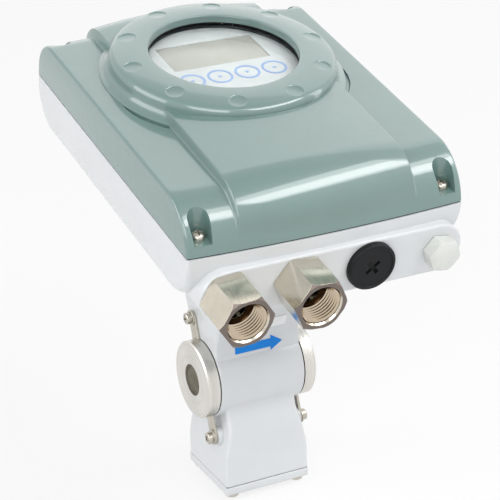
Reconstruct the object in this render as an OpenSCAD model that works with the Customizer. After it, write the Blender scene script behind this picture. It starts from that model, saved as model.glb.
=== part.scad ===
// Wafer electromagnetic flow meter with its converter mounted on the neck.
// The origin is the middle of the flow bore: +X is the flow direction, +Z is up,
// and -Y is the side with the cable entries.

/* [Flow path] */
// Bore of the earth rings and of the liner
bore_d = 18; // [12:0.5:18.5]
// Outer diameter of the two earth rings
ring_od = 44; // [43:0.5:46]
// Thickness of each earth ring
ring_t = 7; // [5:0.5:10]
// Thickness of each ring gasket
gasket_t = 0.6; // [0.4:0.2:1.6]
// Length between the two sealing faces
face_to_face = 66.4; // [64:0.2:76]
// Wall of the liner
liner_t = 1.5; // [1:0.1:1.8]
// Wall of the measuring tube
tube_t = 1.5; // [1:0.1:1.8]

/* [Detector] */
// How far the belly stands proud of the rings, all round
belly_rim = 0.6; // [0.4:0.1:1.4]
// Depth of the lower box, front to back
box_d = 49.4; // [46:0.2:56]
// Bottom of the lower box below the flow axis
box_drop = 58.4; // [54:0.2:70]
// Wall of the detector casting
body_wall = 3.2; // [2.8:0.1:3.4]
// Thickness of the bottom cover
bottom_t = 5; // [4:0.5:8]
// Front-to-back depth of the neck at its narrowest
neck_d = 32.6; // [32:0.2:36]
// Front-to-back depth of the neck above its flare
neck_top_d = 50; // [44:1:56]
// Height at which the flare of the neck ends
flare_z = 46; // [40:1:60]
// Diameter of the wiring passage in the neck
passage_d = 26; // [18:1:28]

/* [Converter head] */
// Width of the head, along the flow direction
head_w = 155; // [145:1:180]
// Length of the head at the seam corners
head_l = 197.6; // [190:1:230]
// Tilt of the head towards the cable entries
head_tilt = 12; // [0:1:16]
// Height of the seam plane above the flow axis, at the middle of the head
head_z = 138.4; // [132:0.2:160]
// Offset of the head's middle from the flow axis
head_y = -3; // [-8:1:4]
// Outward bow of the two short ends
end_bow = 2.6; // [1:0.2:5]
// Depth of the base below the seam
base_h = 31.5; // [30:0.5:40]
// Wall of the base and of the cover
head_wall = 3.6; // [3:0.1:4.2]
// Thickness of the seam gasket
seam_t = 0.8; // [0.6:0.1:1.2]

/* [Cover] */
// Height of the cover's low side flats above the seam
flank_h = 23.8; // [22:0.2:27]
// Rise of the middle band's edges above the side flats
band_rise = 5; // [3:0.5:6]
// Rise of the band's crown above its edges
band_crown = 2.4; // [1:0.2:3]
// Half width of the middle band at its top
band_half = 49; // [46:1:54]
// Radius of the roll at the entry end
near_roll = 28.5; // [24:0.5:30]
// Radius of the roll at the far end
far_roll = 18; // [12:1:21]
// Distance of the window's middle behind the head's middle, as a part of its length
window_share = 0.1387; // [0.12:0.001:0.15]
// Diameter of the window opening
window_d = 80.6; // [76:0.2:83]
// Outer diameter of the window ring
bezel_d = 122; // [118:1:126]
// Crest of the window ring above the seam
bezel_z = 37.5; // [36:0.5:40]
// Number of finger dimples on the window ring
dimples = 10; // [6:1:12]

/* [Cable entries] */
// Mean distance of the outermost entries from the head's sides
port_margin = 17.5; // [16.5:0.5:22]
// Thread diameter of the entries in the base
port_d = 20; // [16:0.5:20]
// Width across flats of the conduit adapters
adapter_af = 26; // [25:0.5:28]
// Length of the adapters' hexagons
adapter_l = 24; // [20:1:32]
// Core diameter of the conduit thread in the adapters
conduit_d = 18.64; // [16:0.02:19]
// Depth of the conduit thread
conduit_l = 15; // [12:1:18]
// Head diameter of the round blind plug
round_plug_d = 27; // [24:0.5:28]
// Thread diameter of the small entry that the hexagonal blind plug closes
small_port_d = 12; // [10:0.5:12.5]
// Width across flats of the hexagonal blind plug
hex_plug_af = 16.3; // [16:0.1:20]

/* [Hidden] */
$fn = 72;
// Overrun of every cut past the face that it opens
over = 1;
// Running clearance, and the closer clearance of turned fits
gap = 0.3;
fit = 0.1;
// Facets of round shapes inside a hull
hull_fn = 32;

// Detector: what follows from the flow path
body_w = face_to_face - 2 * (ring_t + gasket_t);
liner_r = bore_d / 2 + liner_t;
tube_r = liner_r + tube_t;
belly_r = ring_od / 2 + belly_rim;
neck_cross_z = sqrt(pow(belly_r, 2) - pow(neck_d / 2, 2));
flare_start = 26;
belly_cavity_r = belly_r - body_wall;
cavity_w = body_w - 2 * body_wall;
box_inner_d = box_d - 2 * body_wall;
waist_half_share = 0.72;
waist_z = -belly_r * waist_half_share;
waist_d = 2 * sqrt(pow(belly_r, 2) - pow(waist_z, 2));
shoulder_z = -24;
side_inset = 4.2;
side_low_z = -41;
side_high_z = -20;
box_edge_r = 3;
end_bevel = 0.8;

// Straps, screws and washers of the earth rings
strap_t = 1.5;
strap_w = 8;
strap_angle = 20;
strap_out = 12;
strap_reach = ring_od / 2 + strap_out;
strap_boss_r = 5.5;
strap_hole = 5;
m4_r = 2;
m4_head_r = 3.6;
m4_head_h = 2.8;
m4_socket_r = 1.6;
m4_len = 7;
washer_r = 4.4;
washer_t = 0.8;

// Magnet system and electrodes
yoke_t = 1.8;
yoke_x = cavity_w / 2 - side_inset - gap;
yoke_z = flare_start - gap;
yoke_d = 22;
yoke_wide = 31;
yoke_step_z = 9;
shoe_t = 1.6;
shoe_l = 20;
shoe_half_share = 0.75;
core_r = 6;
coil_r = 12.4;
coil_h = 8;
coil_z = tube_r + shoe_t + gap;
electrode_r = 2.4;
electrode_out = 5.5;
insulator_r = 3.8;
insulator_t = 1.5;
nut_af = 7;
nut_t = 2;

// Bottom cover and its screws
bottom_gasket_t = 0.6;
bottom_gasket_in = 0.4;
bottom_bevel = 1.6;
bottom_screw_off = 5.4;
bottom_post_r = 4.4;
bottom_post_l = 12;
bottom_gasket_w = bottom_screw_off + bottom_post_r;
bottom_head_r = 3.7;
bottom_head_h = 2.6;
screw_socket_depth_share = 0.5;

// Head: base and seam
pad_t = 1.5;
pad_half = 50;
floor_t = 3.6;
rim_h = 8;
pad_y = 3;
pan_side_r = 12;
pan_near_r = 26;
pan_far_r = 25;
seam_inset = 1;
seam_w = 3.4;
screw_side_inset = 9;
screw_end_inset = 8.5;
head_x_screw = head_w / 2 - screw_side_inset;
head_y_screw = head_l / 2 - screw_end_inset;
pillar_r = 6;
flange_t = 7;
flange_w = 64;
flange_d = 66;
flange_r = 6;
neck_gasket_t = 1;
floor_z = -base_h + floor_t;
seat_z = -base_h - pad_t;
neck_head_y = (-head_y + seat_z * sin(head_tilt)) / cos(head_tilt);
neck_screw_x = 24;
neck_screw_y = 26;

// Entries: four in a row in one long boss
port_count = 4;
port_shift = 2;
port_pitch = (head_w - 2 * port_margin) / (port_count - 1);
port_z = -21.2;
boss_r = 14.2;
boss_out = 6;
boss_in = 14;
boss_y = -head_l / 2 - boss_out;
boss_l = boss_out + boss_in;
seal_w = 2.4;
small_seal_w = 1.6;
seal_t = 1.2;
seal_depth = 1;
shank_l = 12;
adapter_bore_d = 14;
adapter_edge = 1.6;
plug_head_h = 3.6;
plug_cross_l = 9;
plug_cross_w = 2;
plug_cross_d = 1.6;
plug_wall = 2.4;
hex_plug_h = 8;
hex_plug_turn = 10;
hex_plug_edge = 0.6;

// Cover: window ring, pockets and glass
band_roll = 75;
band_roll_y = 51.3;
band_front = 2.5;
band_slope = 1.5;
band_edge_z = flank_h + band_rise;
band_top = band_edge_z + band_crown;
crown_r = (pow(band_half, 2) + pow(band_crown, 2)) / (2 * band_crown);
dome_r = 60;
dome_from_edge = 3;
shoulder_r = 4.5;
shoulder_drop = 5.9;
dome_mid_r = window_d / 2 + dome_from_edge;
lip_t = 4.2;
glass_t = 3;
glass_margin = 5.2;
window_gasket_t = 0.8;
window_gasket_w = 1.4;
glass_seat_r = window_d / 2 + glass_margin;
glass_r = glass_seat_r - window_gasket_w;
seat_top = bezel_z - dome_r + sqrt(pow(dome_r, 2) - pow(dome_from_edge, 2)) - lip_t;
glass_top = seat_top - window_gasket_t;
ceiling_z = glass_top - glass_t;
bezel_wall = 7;
bezel_cavity_r = bezel_d / 2 - bezel_wall;
retainer_t = 2.4;
retainer_sight = 1.7;
retainer_w = 7;
retainer_in = window_d / 2 + retainer_sight;
retainer_out = glass_seat_r + retainer_w;
retainer_screw_r = glass_seat_r + retainer_w / 2;
retainer_screws_n = 4;
m3_r = 1.5;
m3_head_r = 2.7;
m3_head_h = 1.8;
m3_len = 5;
dimple_out = 9.7;
dimple_r = dome_mid_r + dimple_out;
dimple_ball = 12;
dimple_depth = 1.3;
scoop_r = 30;
far_scoop_from = 34.5;
near_scoop_from = 39;
scoop_depth = 2.2;
scoop_lip = 66;
far_scoop_turn = 17;
near_scoop_turn = 26;
pocket_r = 5.4;
pocket_z = 6;
pocket_wall = 2.6;
display_y = head_l * window_share;

// Display, boards and terminals, stacked from the base floor
panel_t = 1.6;
panel_play = 0.7;
panel_drop = 0.6;
panel_r = retainer_in - panel_play;
panel_top = ceiling_z - panel_drop;
panel_z = panel_top - panel_t;
lcd_w = 56;
lcd_h = 26;
lcd_y = 13;
key_pitch = 16;
key_y = -12.4;
key_ring_r = 6.4;
key_ring_w = 0.7;
key_ring_t = 0.2;
board_t = 1.6;
display_board_r = 44;
display_stack = 6;
display_board_z = panel_z - display_stack;
standoff_r = 2.6;
panel_post_r = 33;
display_post_r = 40;
display_post_turn = 30;
display_post_x = display_post_r * cos(display_post_turn);
display_post_y = display_post_r * sin(display_post_turn);
main_side = 19.5;
main_near = 33.8;
main_far = 23.8;
main_w = head_w - 2 * main_side;
main_l = head_l - main_near - main_far;
main_y = (main_near - main_far) / 2;
main_z = -9;
post_inset = 5;
term_w = 14;
term_h = 11;
term_n = 8;
term_screw_r = 2.6;
term_screw_h = 1.2;
term_edge = 1.5;
term_l = main_w - 2 * (post_inset + m3_head_r + gap);
term_y = main_y - main_l / 2 + term_edge + term_w / 2;
block_gap = 2.5;
post_gap = 1.5;
power_near = term_y + term_w / 2 + block_gap;
power_far = display_y - display_post_y - standoff_r - post_gap;
power_share = 0.4;
power_w = main_w * power_share;
power_l = power_far - power_near;
power_side = 3;
power_x = power_side + power_w / 2 - main_w / 2;
power_y = (power_near + power_far) / 2;
power_rise = 9;
trafo_share = 0.33;
trafo_w = main_w * trafo_share;
trafo_margin = 5;
trafo_l = power_l - 2 * trafo_margin;
trafo_h = 22;
trafo_side = 7;
trafo_x = main_w / 2 - trafo_side - trafo_w / 2;
earth_side = 15.5;
earth_end = 29.8;
earth_x = head_w / 2 - earth_side;
earth_y = earth_end - head_l / 2;
connector_w = 24;
connector_l = 14;
connector_h = 6;
lead_r = 1.8;
lead_x = 5;
bushing_t = 10;
bushing_z = 60;
neck_hollow_share = 0.8;
neck_hollow = body_w * neck_hollow_share;

// Flow arrow and blank label on the neck
label_t = 0.4;
arrow_l = 28.7;
arrow_h = 9.2;
arrow_head_l = 7;
arrow_shaft_share = 0.52;
arrow_x = 0.2;
arrow_z = 20.4;
label_w = 25;
label_h = 7;
label_x = 3;
label_z = 34.5;

function port_x(i) = port_shift + (i - (port_count - 1) / 2) * port_pitch;

// The last entry is a smaller one, for the hexagonal plug
function port_r(i) = (i < port_count - 1 ? port_d : small_port_d) / 2;
function seal_r(i) = port_r(i) + (i < port_count - 1 ? seal_w : small_seal_w);

// The head's own frame, with its origin in the seam plane at the head's middle
module head() {
  translate([0, head_y, head_z]) rotate([head_tilt, 0, 0]) children();
}

// A cylinder along +X, and one along -Y
module along_x(r, l) { rotate([0, 90, 0]) cylinder(r = r, h = l); }
module along_y(r, l) { rotate([90, 0, 0]) cylinder(r = r, h = l); }

// A screw with a round socket, its seat at z = 0 and its head above
module screw(r, head_r, head_h, l, socket_r) {
  difference() {
    union() {
      cylinder(r = head_r, h = head_h);
      translate([0, 0, -l]) cylinder(r = r, h = l);
    }
    translate([0, 0, head_h * screw_socket_depth_share]) cylinder(r = socket_r, h = head_h);
  }
}

module at_corners(x, y) {
  for (sx = [-1, 1], sy = [-1, 1]) translate([sx * x, sy * y, 0]) children();
}

// Plan of the head at the seam: straight sides and two bowed ends
module plan(inset) {
  half_w = head_w / 2;
  bow_r = (pow(half_w, 2) + pow(end_bow, 2)) / (2 * end_bow);
  intersection() {
    square([head_w - 2 * inset, head_l + 2 * end_bow], center = true);
    translate([0, head_l / 2 + end_bow - bow_r]) circle(r = bow_r - inset, $fn = 720);
    translate([0, bow_r - head_l / 2 - end_bow]) circle(r = bow_r - inset, $fn = 720);
  }
}

// Side profile of the cover in the YZ plane, as an extrusion along X
module profile(w, h, near_r, near_y, far_r, far_y) {
  rotate([90, 0, 90]) translate([0, 0, -w / 2]) linear_extrude(w) union() {
    translate([near_y + near_r, -near_r]) square([far_y - far_r - near_y - near_r, h + near_r]);
    translate([near_y + near_r, h - near_r]) circle(near_r);
    translate([far_y - far_r, h - far_r]) circle(far_r);
    translate([far_y - 2 * far_r, -near_r]) square([2 * far_r, near_r + h - far_r]);
  }
}

module cover_flanks(inset) {
  profile(head_w - 2 * inset, flank_h - inset, near_roll - inset, -head_l / 2 - end_bow + inset,
    far_roll - inset, head_l / 2 + end_bow - inset);
}

// Raised band: crowned across, rolled down to the entries and to the far end
module cover_band(inset) {
  intersection() {
    profile(head_w, band_top - inset, band_roll - inset, -head_l / 2 + band_roll_y - band_roll + inset,
      far_roll - inset, head_l / 2 + end_bow - inset);
    linear_extrude(2 * bezel_z) plan(band_front + inset);
    translate([0, head_l, band_top - crown_r]) rotate([90, 0, 0])
      cylinder(r = crown_r - inset, h = 2 * head_l, $fn = 720);
    rotate([90, 0, 0]) translate([0, 0, -head_l]) linear_extrude(2 * head_l) polygon([
      [-band_half - band_slope + inset, 0], [-band_half - band_slope + inset, flank_h - inset],
      [-band_half + inset, band_edge_z - inset], [-band_half + inset, 2 * bezel_z],
      [band_half - inset, 2 * bezel_z], [band_half - inset, band_edge_z - inset],
      [band_half + band_slope - inset, flank_h - inset], [band_half + band_slope - inset, 0]]);
  }
}

// Domed disc that the window's opening and seat make into a ring
module bezel_form() {
  translate([0, display_y, 0]) rotate_extrude($fn = 120) intersection() {
    translate([0, flank_h - head_wall]) square([bezel_d / 2, bezel_z]);
    translate([dome_mid_r, bezel_z - dome_r]) circle(dome_r);
    union() {
      translate([bezel_d / 2 - shoulder_r, bezel_z - shoulder_drop]) circle(shoulder_r);
      square([bezel_d / 2 - shoulder_r, 2 * bezel_z]);
      square([bezel_d / 2, bezel_z - shoulder_drop]);
    }
  }
}

module dimple_balls() {
  lean = asin((dimple_r - dome_mid_r) / dome_r);
  reach = dome_r + dimple_ball - dimple_depth;
  for (i = [0:dimples - 1]) translate([0, display_y, 0]) rotate([0, 0, i * 360 / dimples])
    translate([dome_mid_r + reach * sin(lean), 0, bezel_z - dome_r + reach * cos(lean)])
      sphere(dimple_ball);
}

// Shallow finger scoops beside the window ring, two on each side
module scoops() {
  translate([0, display_y, flank_h - scoop_depth]) for (side = [0, 1]) mirror([side, 0, 0]) {
    rotate([0, 0, -far_scoop_turn]) translate([-far_scoop_from, 0, 0]) cylinder(r = scoop_r, h = bezel_z);
    difference() {
      rotate([0, 0, near_scoop_turn]) translate([-near_scoop_from, 0, 0])
        cylinder(r = scoop_r, h = bezel_z);
      translate([0, 0, -over]) cylinder(r = scoop_lip, h = bezel_z + 2 * over);
    }
  }
}

// The four screw pockets are open to the short ends of the cover
module pocket(sy) {
  translate([0, 0, pocket_z]) cylinder(r = pocket_r, h = 2 * flank_h);
  translate([-pocket_r, sy > 0 ? 0 : -2 * near_roll, pocket_z])
    cube([2 * pocket_r, 2 * near_roll, 2 * flank_h]);
}

module cover() color("#8fa6a1") head() difference() {
  union() {
    intersection() {
      translate([0, 0, seam_t]) linear_extrude(2 * bezel_z) plan(0);
      union() {
        difference() {
          union() {
            cover_flanks(0);
            cover_band(0);
          }
          cover_flanks(head_wall);
          cover_band(head_wall);
          scoops();
          translate([0, 0, -over]) linear_extrude(seam_t + over + rim_h) plan(head_wall + gap);
        }
        intersection() {
          translate([0, 0, seam_t]) linear_extrude(2 * bezel_z) plan(0);
          cover_flanks(0);
          at_corners(head_x_screw, head_y_screw) cylinder(r = pocket_r + pocket_wall, h = bezel_z);
        }
      }
    }
    bezel_form();
  }
  for (sx = [-1, 1], sy = [-1, 1]) translate([sx * head_x_screw, sy * head_y_screw, 0]) {
    pocket(sy);
    cylinder(r = m4_r + gap, h = bezel_z);
  }
  translate([0, display_y, 0]) {
    translate([0, 0, -over]) cylinder(r = bezel_cavity_r, h = ceiling_z + over);
    cylinder(r = glass_seat_r + fit, h = seat_top);
    cylinder(r = window_d / 2, h = 2 * bezel_z);
    for (i = [0:retainer_screws_n - 1]) rotate([0, 0, (i + 1 / 2) * 360 / retainer_screws_n])
      translate([retainer_screw_r, 0, ceiling_z - over]) cylinder(r = m3_r, h = m3_len - retainer_t);
  }
  dimple_balls();
}

module window_glass() color("#e8f0ee", 0.4) head() translate([0, display_y, ceiling_z])
  cylinder(r = glass_r, h = glass_t);

// The gasket lies on the glass and wraps its edge
module window_gasket() color("#1b1b1c") head() translate([0, display_y, ceiling_z]) difference() {
  cylinder(r = glass_seat_r, h = glass_t + window_gasket_t);
  translate([0, 0, -over]) cylinder(r = glass_r + fit, h = glass_t + over);
  cylinder(r = window_d / 2 - gap, h = glass_t + window_gasket_t + over);
}

module glass_retainer() color("#b9bdbf") head()
  translate([0, display_y, ceiling_z - retainer_t]) difference() {
    cylinder(r = retainer_out, h = retainer_t);
    translate([0, 0, -over]) cylinder(r = retainer_in, h = retainer_t + 2 * over);
    for (i = [0:retainer_screws_n - 1]) rotate([0, 0, (i + 1 / 2) * 360 / retainer_screws_n])
      translate([retainer_screw_r, 0, -over]) cylinder(r = m3_r + fit, h = retainer_t + 2 * over);
  }

module retainer_screws() color("#c9ccce") head() translate([0, display_y, ceiling_z - retainer_t])
  for (i = [0:retainer_screws_n - 1]) rotate([0, 0, (i + 1 / 2) * 360 / retainer_screws_n])
    translate([retainer_screw_r, 0, 0]) rotate([180, 0, 0])
      screw(m3_r - fit, m3_head_r, m3_head_h, m3_len - over - fit, m3_r);

module cover_screws() color("#cfcac2") head() at_corners(head_x_screw, head_y_screw)
  translate([0, 0, pocket_z]) screw(m4_r - fit, m4_head_r, m4_head_h, pocket_z + m4_len, m4_socket_r);

module seam_gasket() color("#161718") head() difference() {
  linear_extrude(seam_t) plan(seam_inset);
  translate([0, 0, -over]) linear_extrude(seam_t + 2 * over) plan(seam_inset + seam_w);
}

// Section of a tub with its rim at zero: two lower corners of their own radii
module tub(half, depth, r_low, r_high) {
  translate([r_low - half, -depth]) square([2 * half - r_low - r_high, depth]);
  translate([r_low - half, r_low - depth]) circle(r_low);
  translate([half - r_high, r_high - depth]) circle(r_high);
  translate([-half, r_low - depth]) square([r_low, depth - r_low]);
  translate([half - r_high, r_high - depth]) square([r_high, depth - r_high]);
}

// Pan of the base: rounded below, with the seam's plan at its rim
module pan(inset, depth) {
  intersection() {
    translate([0, 0, -depth]) linear_extrude(depth) plan(inset);
    rotate([90, 0, 90]) translate([0, 0, -head_w / 2]) linear_extrude(head_w)
      tub(head_l / 2 + end_bow - inset, depth, pan_near_r - inset, pan_far_r - inset);
    rotate([90, 0, 0]) translate([0, 0, -head_l]) linear_extrude(2 * head_l)
      tub(head_w / 2 - inset, depth, pan_side_r - inset, pan_side_r - inset);
  }
}

// Long round-ended boss for the row of cable entries
module boss() {
  translate([0, boss_y + boss_l, port_z]) {
    for (i = [0, port_count - 1]) translate([port_x(i), 0, 0]) along_y(boss_r, boss_l);
    translate([port_x(0), -boss_l, -boss_r]) cube([port_x(port_count - 1) - port_x(0), boss_l, 2 * boss_r]);
  }
}

module at_board_posts() {
  translate([0, main_y, 0]) at_corners(main_w / 2 - post_inset, main_l / 2 - post_inset) children();
}

module base_housing() color("#d3d7da") difference() {
  head() difference() {
    union() {
      difference() {
        union() {
          pan(0, base_h);
          translate([pan_side_r - head_w / 2, pad_y - pad_half, seat_z])
            cube([head_w - 2 * pan_side_r, 2 * pad_half, pad_t + over]);
          boss();
        }
        pan(head_wall, base_h - floor_t);
        translate([0, 0, -over]) linear_extrude(2 * over) plan(head_wall);
      }
      intersection() {
        pan(0, base_h);
        union() {
          translate([0, 0, -base_h]) at_corners(head_x_screw, head_y_screw)
            cylinder(r = pillar_r, h = base_h);
          boss();
        }
      }
    }
    at_corners(head_x_screw, head_y_screw) translate([0, 0, -m4_len - over])
      cylinder(r = m4_r, h = m4_len + 2 * over);
    for (i = [0:port_count - 1]) translate([port_x(i), boss_y, port_z]) {
      translate([0, boss_l + over, 0]) along_y(port_r(i), boss_l + 2 * over);
      translate([0, seal_depth, 0]) along_y(seal_r(i) + fit, seal_depth + over);
    }
    translate([0, neck_head_y, 0]) at_corners(neck_screw_x, neck_screw_y)
      translate([0, 0, seat_z - over]) cylinder(r = m4_r + fit, h = base_h);
    translate([earth_x, earth_y, floor_z - m3_len / 2]) cylinder(r = m3_r + fit, h = base_h);
    at_board_posts() translate([0, 0, floor_z - m3_len / 2]) cylinder(r = m3_r + fit, h = m3_len);
  }
  cylinder(r = passage_d / 2, h = head_z);
}

module port_seals() color("#18191a") head() for (i = [0:port_count - 1])
  translate([port_x(i), boss_y + seal_depth, port_z]) difference() {
    along_y(seal_r(i), seal_t);
    translate([0, over, 0]) along_y(port_r(i) + fit, seal_t + 2 * over);
  }

// Conduit adapter: hexagon outside, conduit thread in its mouth, shank in the base
module adapter(i, colour) color(colour) head()
  translate([port_x(i), boss_y - (seal_t - seal_depth), port_z]) difference() {
    union() {
      intersection() {
        rotate([90, 0, 0]) cylinder(r = adapter_af / 2 / cos(30), h = adapter_l, $fn = 6);
        union() {
          along_y(adapter_af, adapter_l - adapter_edge * 2);
          translate([0, adapter_edge * 2 - adapter_l, 0]) rotate([90, 0, 0])
            cylinder(r1 = adapter_af / 2 + adapter_edge * 2, r2 = adapter_af / 2, h = adapter_edge * 2);
        }
      }
      translate([0, shank_l, 0]) along_y(port_d / 2 - fit, shank_l + over);
    }
    translate([0, conduit_l - adapter_l, 0]) along_y(conduit_d / 2, conduit_l + over);
    translate([0, shank_l + over, 0]) along_y(adapter_bore_d / 2, shank_l + adapter_l);
  }

module left_adapter() adapter(0, "#b7b1a6");
module right_adapter() adapter(1, "#b7b1a6");

module plug_shank(r) {
  difference() {
    translate([0, shank_l, 0]) along_y(r - fit, shank_l + over);
    translate([0, shank_l + over, 0]) along_y(r - plug_wall, shank_l);
  }
}

module round_plug() color("#1a1a1b") head()
  translate([port_x(2), boss_y - (seal_t - seal_depth), port_z]) difference() {
    union() {
      along_y(round_plug_d / 2, plug_head_h);
      plug_shank(port_r(2));
    }
    for (a = [0, 90]) rotate([0, a, 0])
      translate([-plug_cross_l / 2, -plug_head_h - over, -plug_cross_w / 2])
        cube([plug_cross_l, plug_cross_d + over, plug_cross_w]);
  }

module hex_plug() color("#e9ebe8") head()
  translate([port_x(3), boss_y - (seal_t - seal_depth), port_z]) union() {
    intersection() {
      rotate([90, hex_plug_turn, 0]) cylinder(r = hex_plug_af / 2 / cos(30), h = hex_plug_h, $fn = 6);
      union() {
        along_y(hex_plug_af, hex_plug_h - hex_plug_edge);
        translate([0, hex_plug_edge - hex_plug_h, 0]) rotate([90, 0, 0])
          cylinder(r1 = hex_plug_af / 2 + 2 * hex_plug_edge, r2 = hex_plug_af / 2 + hex_plug_edge,
            h = hex_plug_edge);
      }
    }
    plug_shank(port_r(3));
  }

module display_panel() color("#d9dcda") head() translate([0, display_y, panel_z]) difference() {
  cylinder(r = panel_r, h = panel_t);
  translate([-lcd_w / 2 - gap, lcd_y - lcd_h / 2 - gap, -over])
    cube([lcd_w + 2 * gap, lcd_h + 2 * gap, panel_t + 2 * over]);
}

module lcd_module() color("#b9bcb0") head() translate([-lcd_w / 2, display_y + lcd_y - lcd_h / 2,
    display_board_z + board_t]) cube([lcd_w, lcd_h, panel_top - display_board_z - board_t - gap]);

// Printed rings round the four touch keys
module key_rings() color("#2f6fb4") head() for (i = [0:3])
  translate([(i - 3 / 2) * key_pitch, display_y + key_y, panel_top]) difference() {
    cylinder(r = key_ring_r, h = key_ring_t);
    translate([0, 0, -over]) cylinder(r = key_ring_r - key_ring_w, h = key_ring_t + 2 * over);
  }

module panel_spacers() color("#c9ccce") head() for (i = [0:3])
  translate([0, display_y, display_board_z + board_t]) rotate([0, 0, i * 90])
    translate([panel_post_r, 0, 0]) cylinder(r = standoff_r, h = panel_z - display_board_z - board_t);

module display_board() color("#2f6a45") head() translate([0, display_y, display_board_z])
  cylinder(r = display_board_r, h = board_t);

module display_standoffs() color("#c9ccce") head() translate([0, display_y, main_z + board_t])
  at_corners(display_post_x, display_post_y)
    cylinder(r = standoff_r, h = display_board_z - main_z - board_t);

module main_board() color("#2f6a45") head() difference() {
  translate([-main_w / 2, main_y - main_l / 2, main_z]) cube([main_w, main_l, board_t]);
  at_board_posts() translate([0, 0, main_z - over]) cylinder(r = m3_r + fit, h = board_t + 2 * over);
}

module board_standoffs() color("#c9ccce") head() at_board_posts() difference() {
  union() {
    translate([0, 0, floor_z]) cylinder(r = standoff_r, h = main_z - floor_z);
    translate([0, 0, floor_z - m3_len / 2 + fit]) cylinder(r = m3_r, h = m3_len);
  }
  translate([0, 0, main_z - m3_len]) cylinder(r = m3_r, h = m3_len + over);
}

module board_screws() color("#c9ccce") head() at_board_posts() translate([0, 0, main_z + board_t])
  screw(m3_r - fit, m3_head_r, m3_head_h, m3_len, m3_r - fit);

module power_board() color("#3a7550") head()
  translate([power_x - power_w / 2, power_y - power_l / 2, main_z + board_t + power_rise])
    cube([power_w, power_l, board_t]);

module power_spacers() color("#c9ccce") head() translate([power_x, power_y, main_z + board_t])
  at_corners(power_w / 2 - post_inset, power_l / 2 - post_inset) cylinder(r = standoff_r, h = power_rise);

module transformer() color("#3c3d40") head() translate([trafo_x - trafo_w / 2,
    power_y - trafo_l / 2, main_z + board_t]) cube([trafo_w, trafo_l, trafo_h]);

module terminal_block() color("#26282a") head() difference() {
  translate([-term_l / 2, term_y - term_w / 2, main_z + board_t]) cube([term_l, term_w, term_h]);
  for (i = [0:term_n - 1]) translate([(i - (term_n - 1) / 2) * term_l / term_n, term_y,
      main_z + board_t + term_h - term_screw_h]) cylinder(r = term_screw_r + fit, h = term_h);
}

module terminal_screws() color("#cfc9b8") head() for (i = [0:term_n - 1])
  translate([(i - (term_n - 1) / 2) * term_l / term_n, term_y,
      main_z + board_t + term_h - term_screw_h]) cylinder(r = term_screw_r, h = 2 * term_screw_h);

module earth_screw() color("#b8983f") head() translate([earth_x, earth_y, floor_z])
  screw(m3_r, m4_head_r, m3_head_h, m3_len / 2 - fit, m3_r - fit);

// Underside connector of the main board, where the detector's leads end
module lead_connector() color("#e5e5df") head()
  translate([-connector_w / 2, neck_head_y - connector_l / 2, main_z - connector_h])
    cube([connector_w, connector_l, connector_h]);

module flange_slab(t) {
  linear_extrude(t) hull() at_corners(flange_w / 2 - flange_r, flange_d / 2 - flange_r)
    circle(flange_r, $fn = hull_fn);
}

module neck_gasket() color("#1b1b1c") difference() {
  head() translate([0, neck_head_y, seat_z - neck_gasket_t]) difference() {
    flange_slab(neck_gasket_t);
    at_corners(neck_screw_x, neck_screw_y) translate([0, 0, -over])
      cylinder(r = m4_r + fit, h = neck_gasket_t + 2 * over);
  }
  cylinder(r = passage_d / 2, h = head_z);
}

module neck_screws() color("#c9ccce") head() translate([0, neck_head_y, floor_z])
  at_corners(neck_screw_x, neck_screw_y)
    screw(m4_r - fit, m4_head_r, m4_head_h, pad_t + floor_t + neck_gasket_t + m4_len - over, m4_socket_r);

// Outer form of the detector casting
module neck_column() {
  hull() {
    translate([0, 0, flare_z]) linear_extrude(fit) square([body_w, neck_top_d], center = true);
    head() translate([0, neck_head_y, seat_z - neck_gasket_t - flange_t]) flange_slab(flange_t);
  }
}

module neck_flare() {
  rotate([90, 0, 90]) translate([0, 0, -body_w / 2]) linear_extrude(body_w) polygon([
    [-neck_d / 2, 0], [-neck_d / 2, flare_start], [-neck_top_d / 2, flare_z],
    [neck_top_d / 2, flare_z], [neck_d / 2, flare_start], [neck_d / 2, 0]]);
}

module lower_box() {
  intersection() {
    rotate([90, 0, 90]) translate([0, 0, -body_w / 2]) linear_extrude(body_w) polygon([
      [-waist_d / 2, 0], [-waist_d / 2, waist_z], [-box_d / 2, shoulder_z], [-box_d / 2, -box_drop],
      [box_d / 2, -box_drop], [box_d / 2, shoulder_z], [waist_d / 2, waist_z], [waist_d / 2, 0]]);
    rotate([90, 0, 0]) translate([0, 0, -box_d]) linear_extrude(2 * box_d) polygon([
      [-body_w / 2 + side_inset, 0], [-body_w / 2 + side_inset, side_high_z],
      [-body_w / 2, side_low_z], [-body_w / 2, -box_drop], [body_w / 2, -box_drop],
      [body_w / 2, side_low_z], [body_w / 2 - side_inset, side_high_z], [body_w / 2 - side_inset, 0]]);
  }
}

// Places of the four straps: above to the rear and below to the front, on both ends
module at_straps() {
  for (turn = [0, 180], a = [0, 180]) rotate([a - strap_angle, 0, 0]) rotate([0, 0, turn])
    translate([body_w / 2, 0, 0]) children();
}

// Hollow of the lower box, with a corner post for each bottom screw
module box_hollow() {
  difference() {
    union() {
      translate([-cavity_w / 2, -box_inner_d / 2, -box_drop - over])
        cube([cavity_w, box_inner_d, box_drop + over + side_low_z - body_wall]);
      translate([side_inset - cavity_w / 2, -box_inner_d / 2, -box_drop])
        cube([cavity_w - 2 * side_inset, box_inner_d, box_drop + shoulder_z - body_wall]);
    }
    translate([0, 0, -box_drop - over]) at_bottom_screws() cylinder(r = bottom_post_r, h = bottom_post_l);
  }
}

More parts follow.
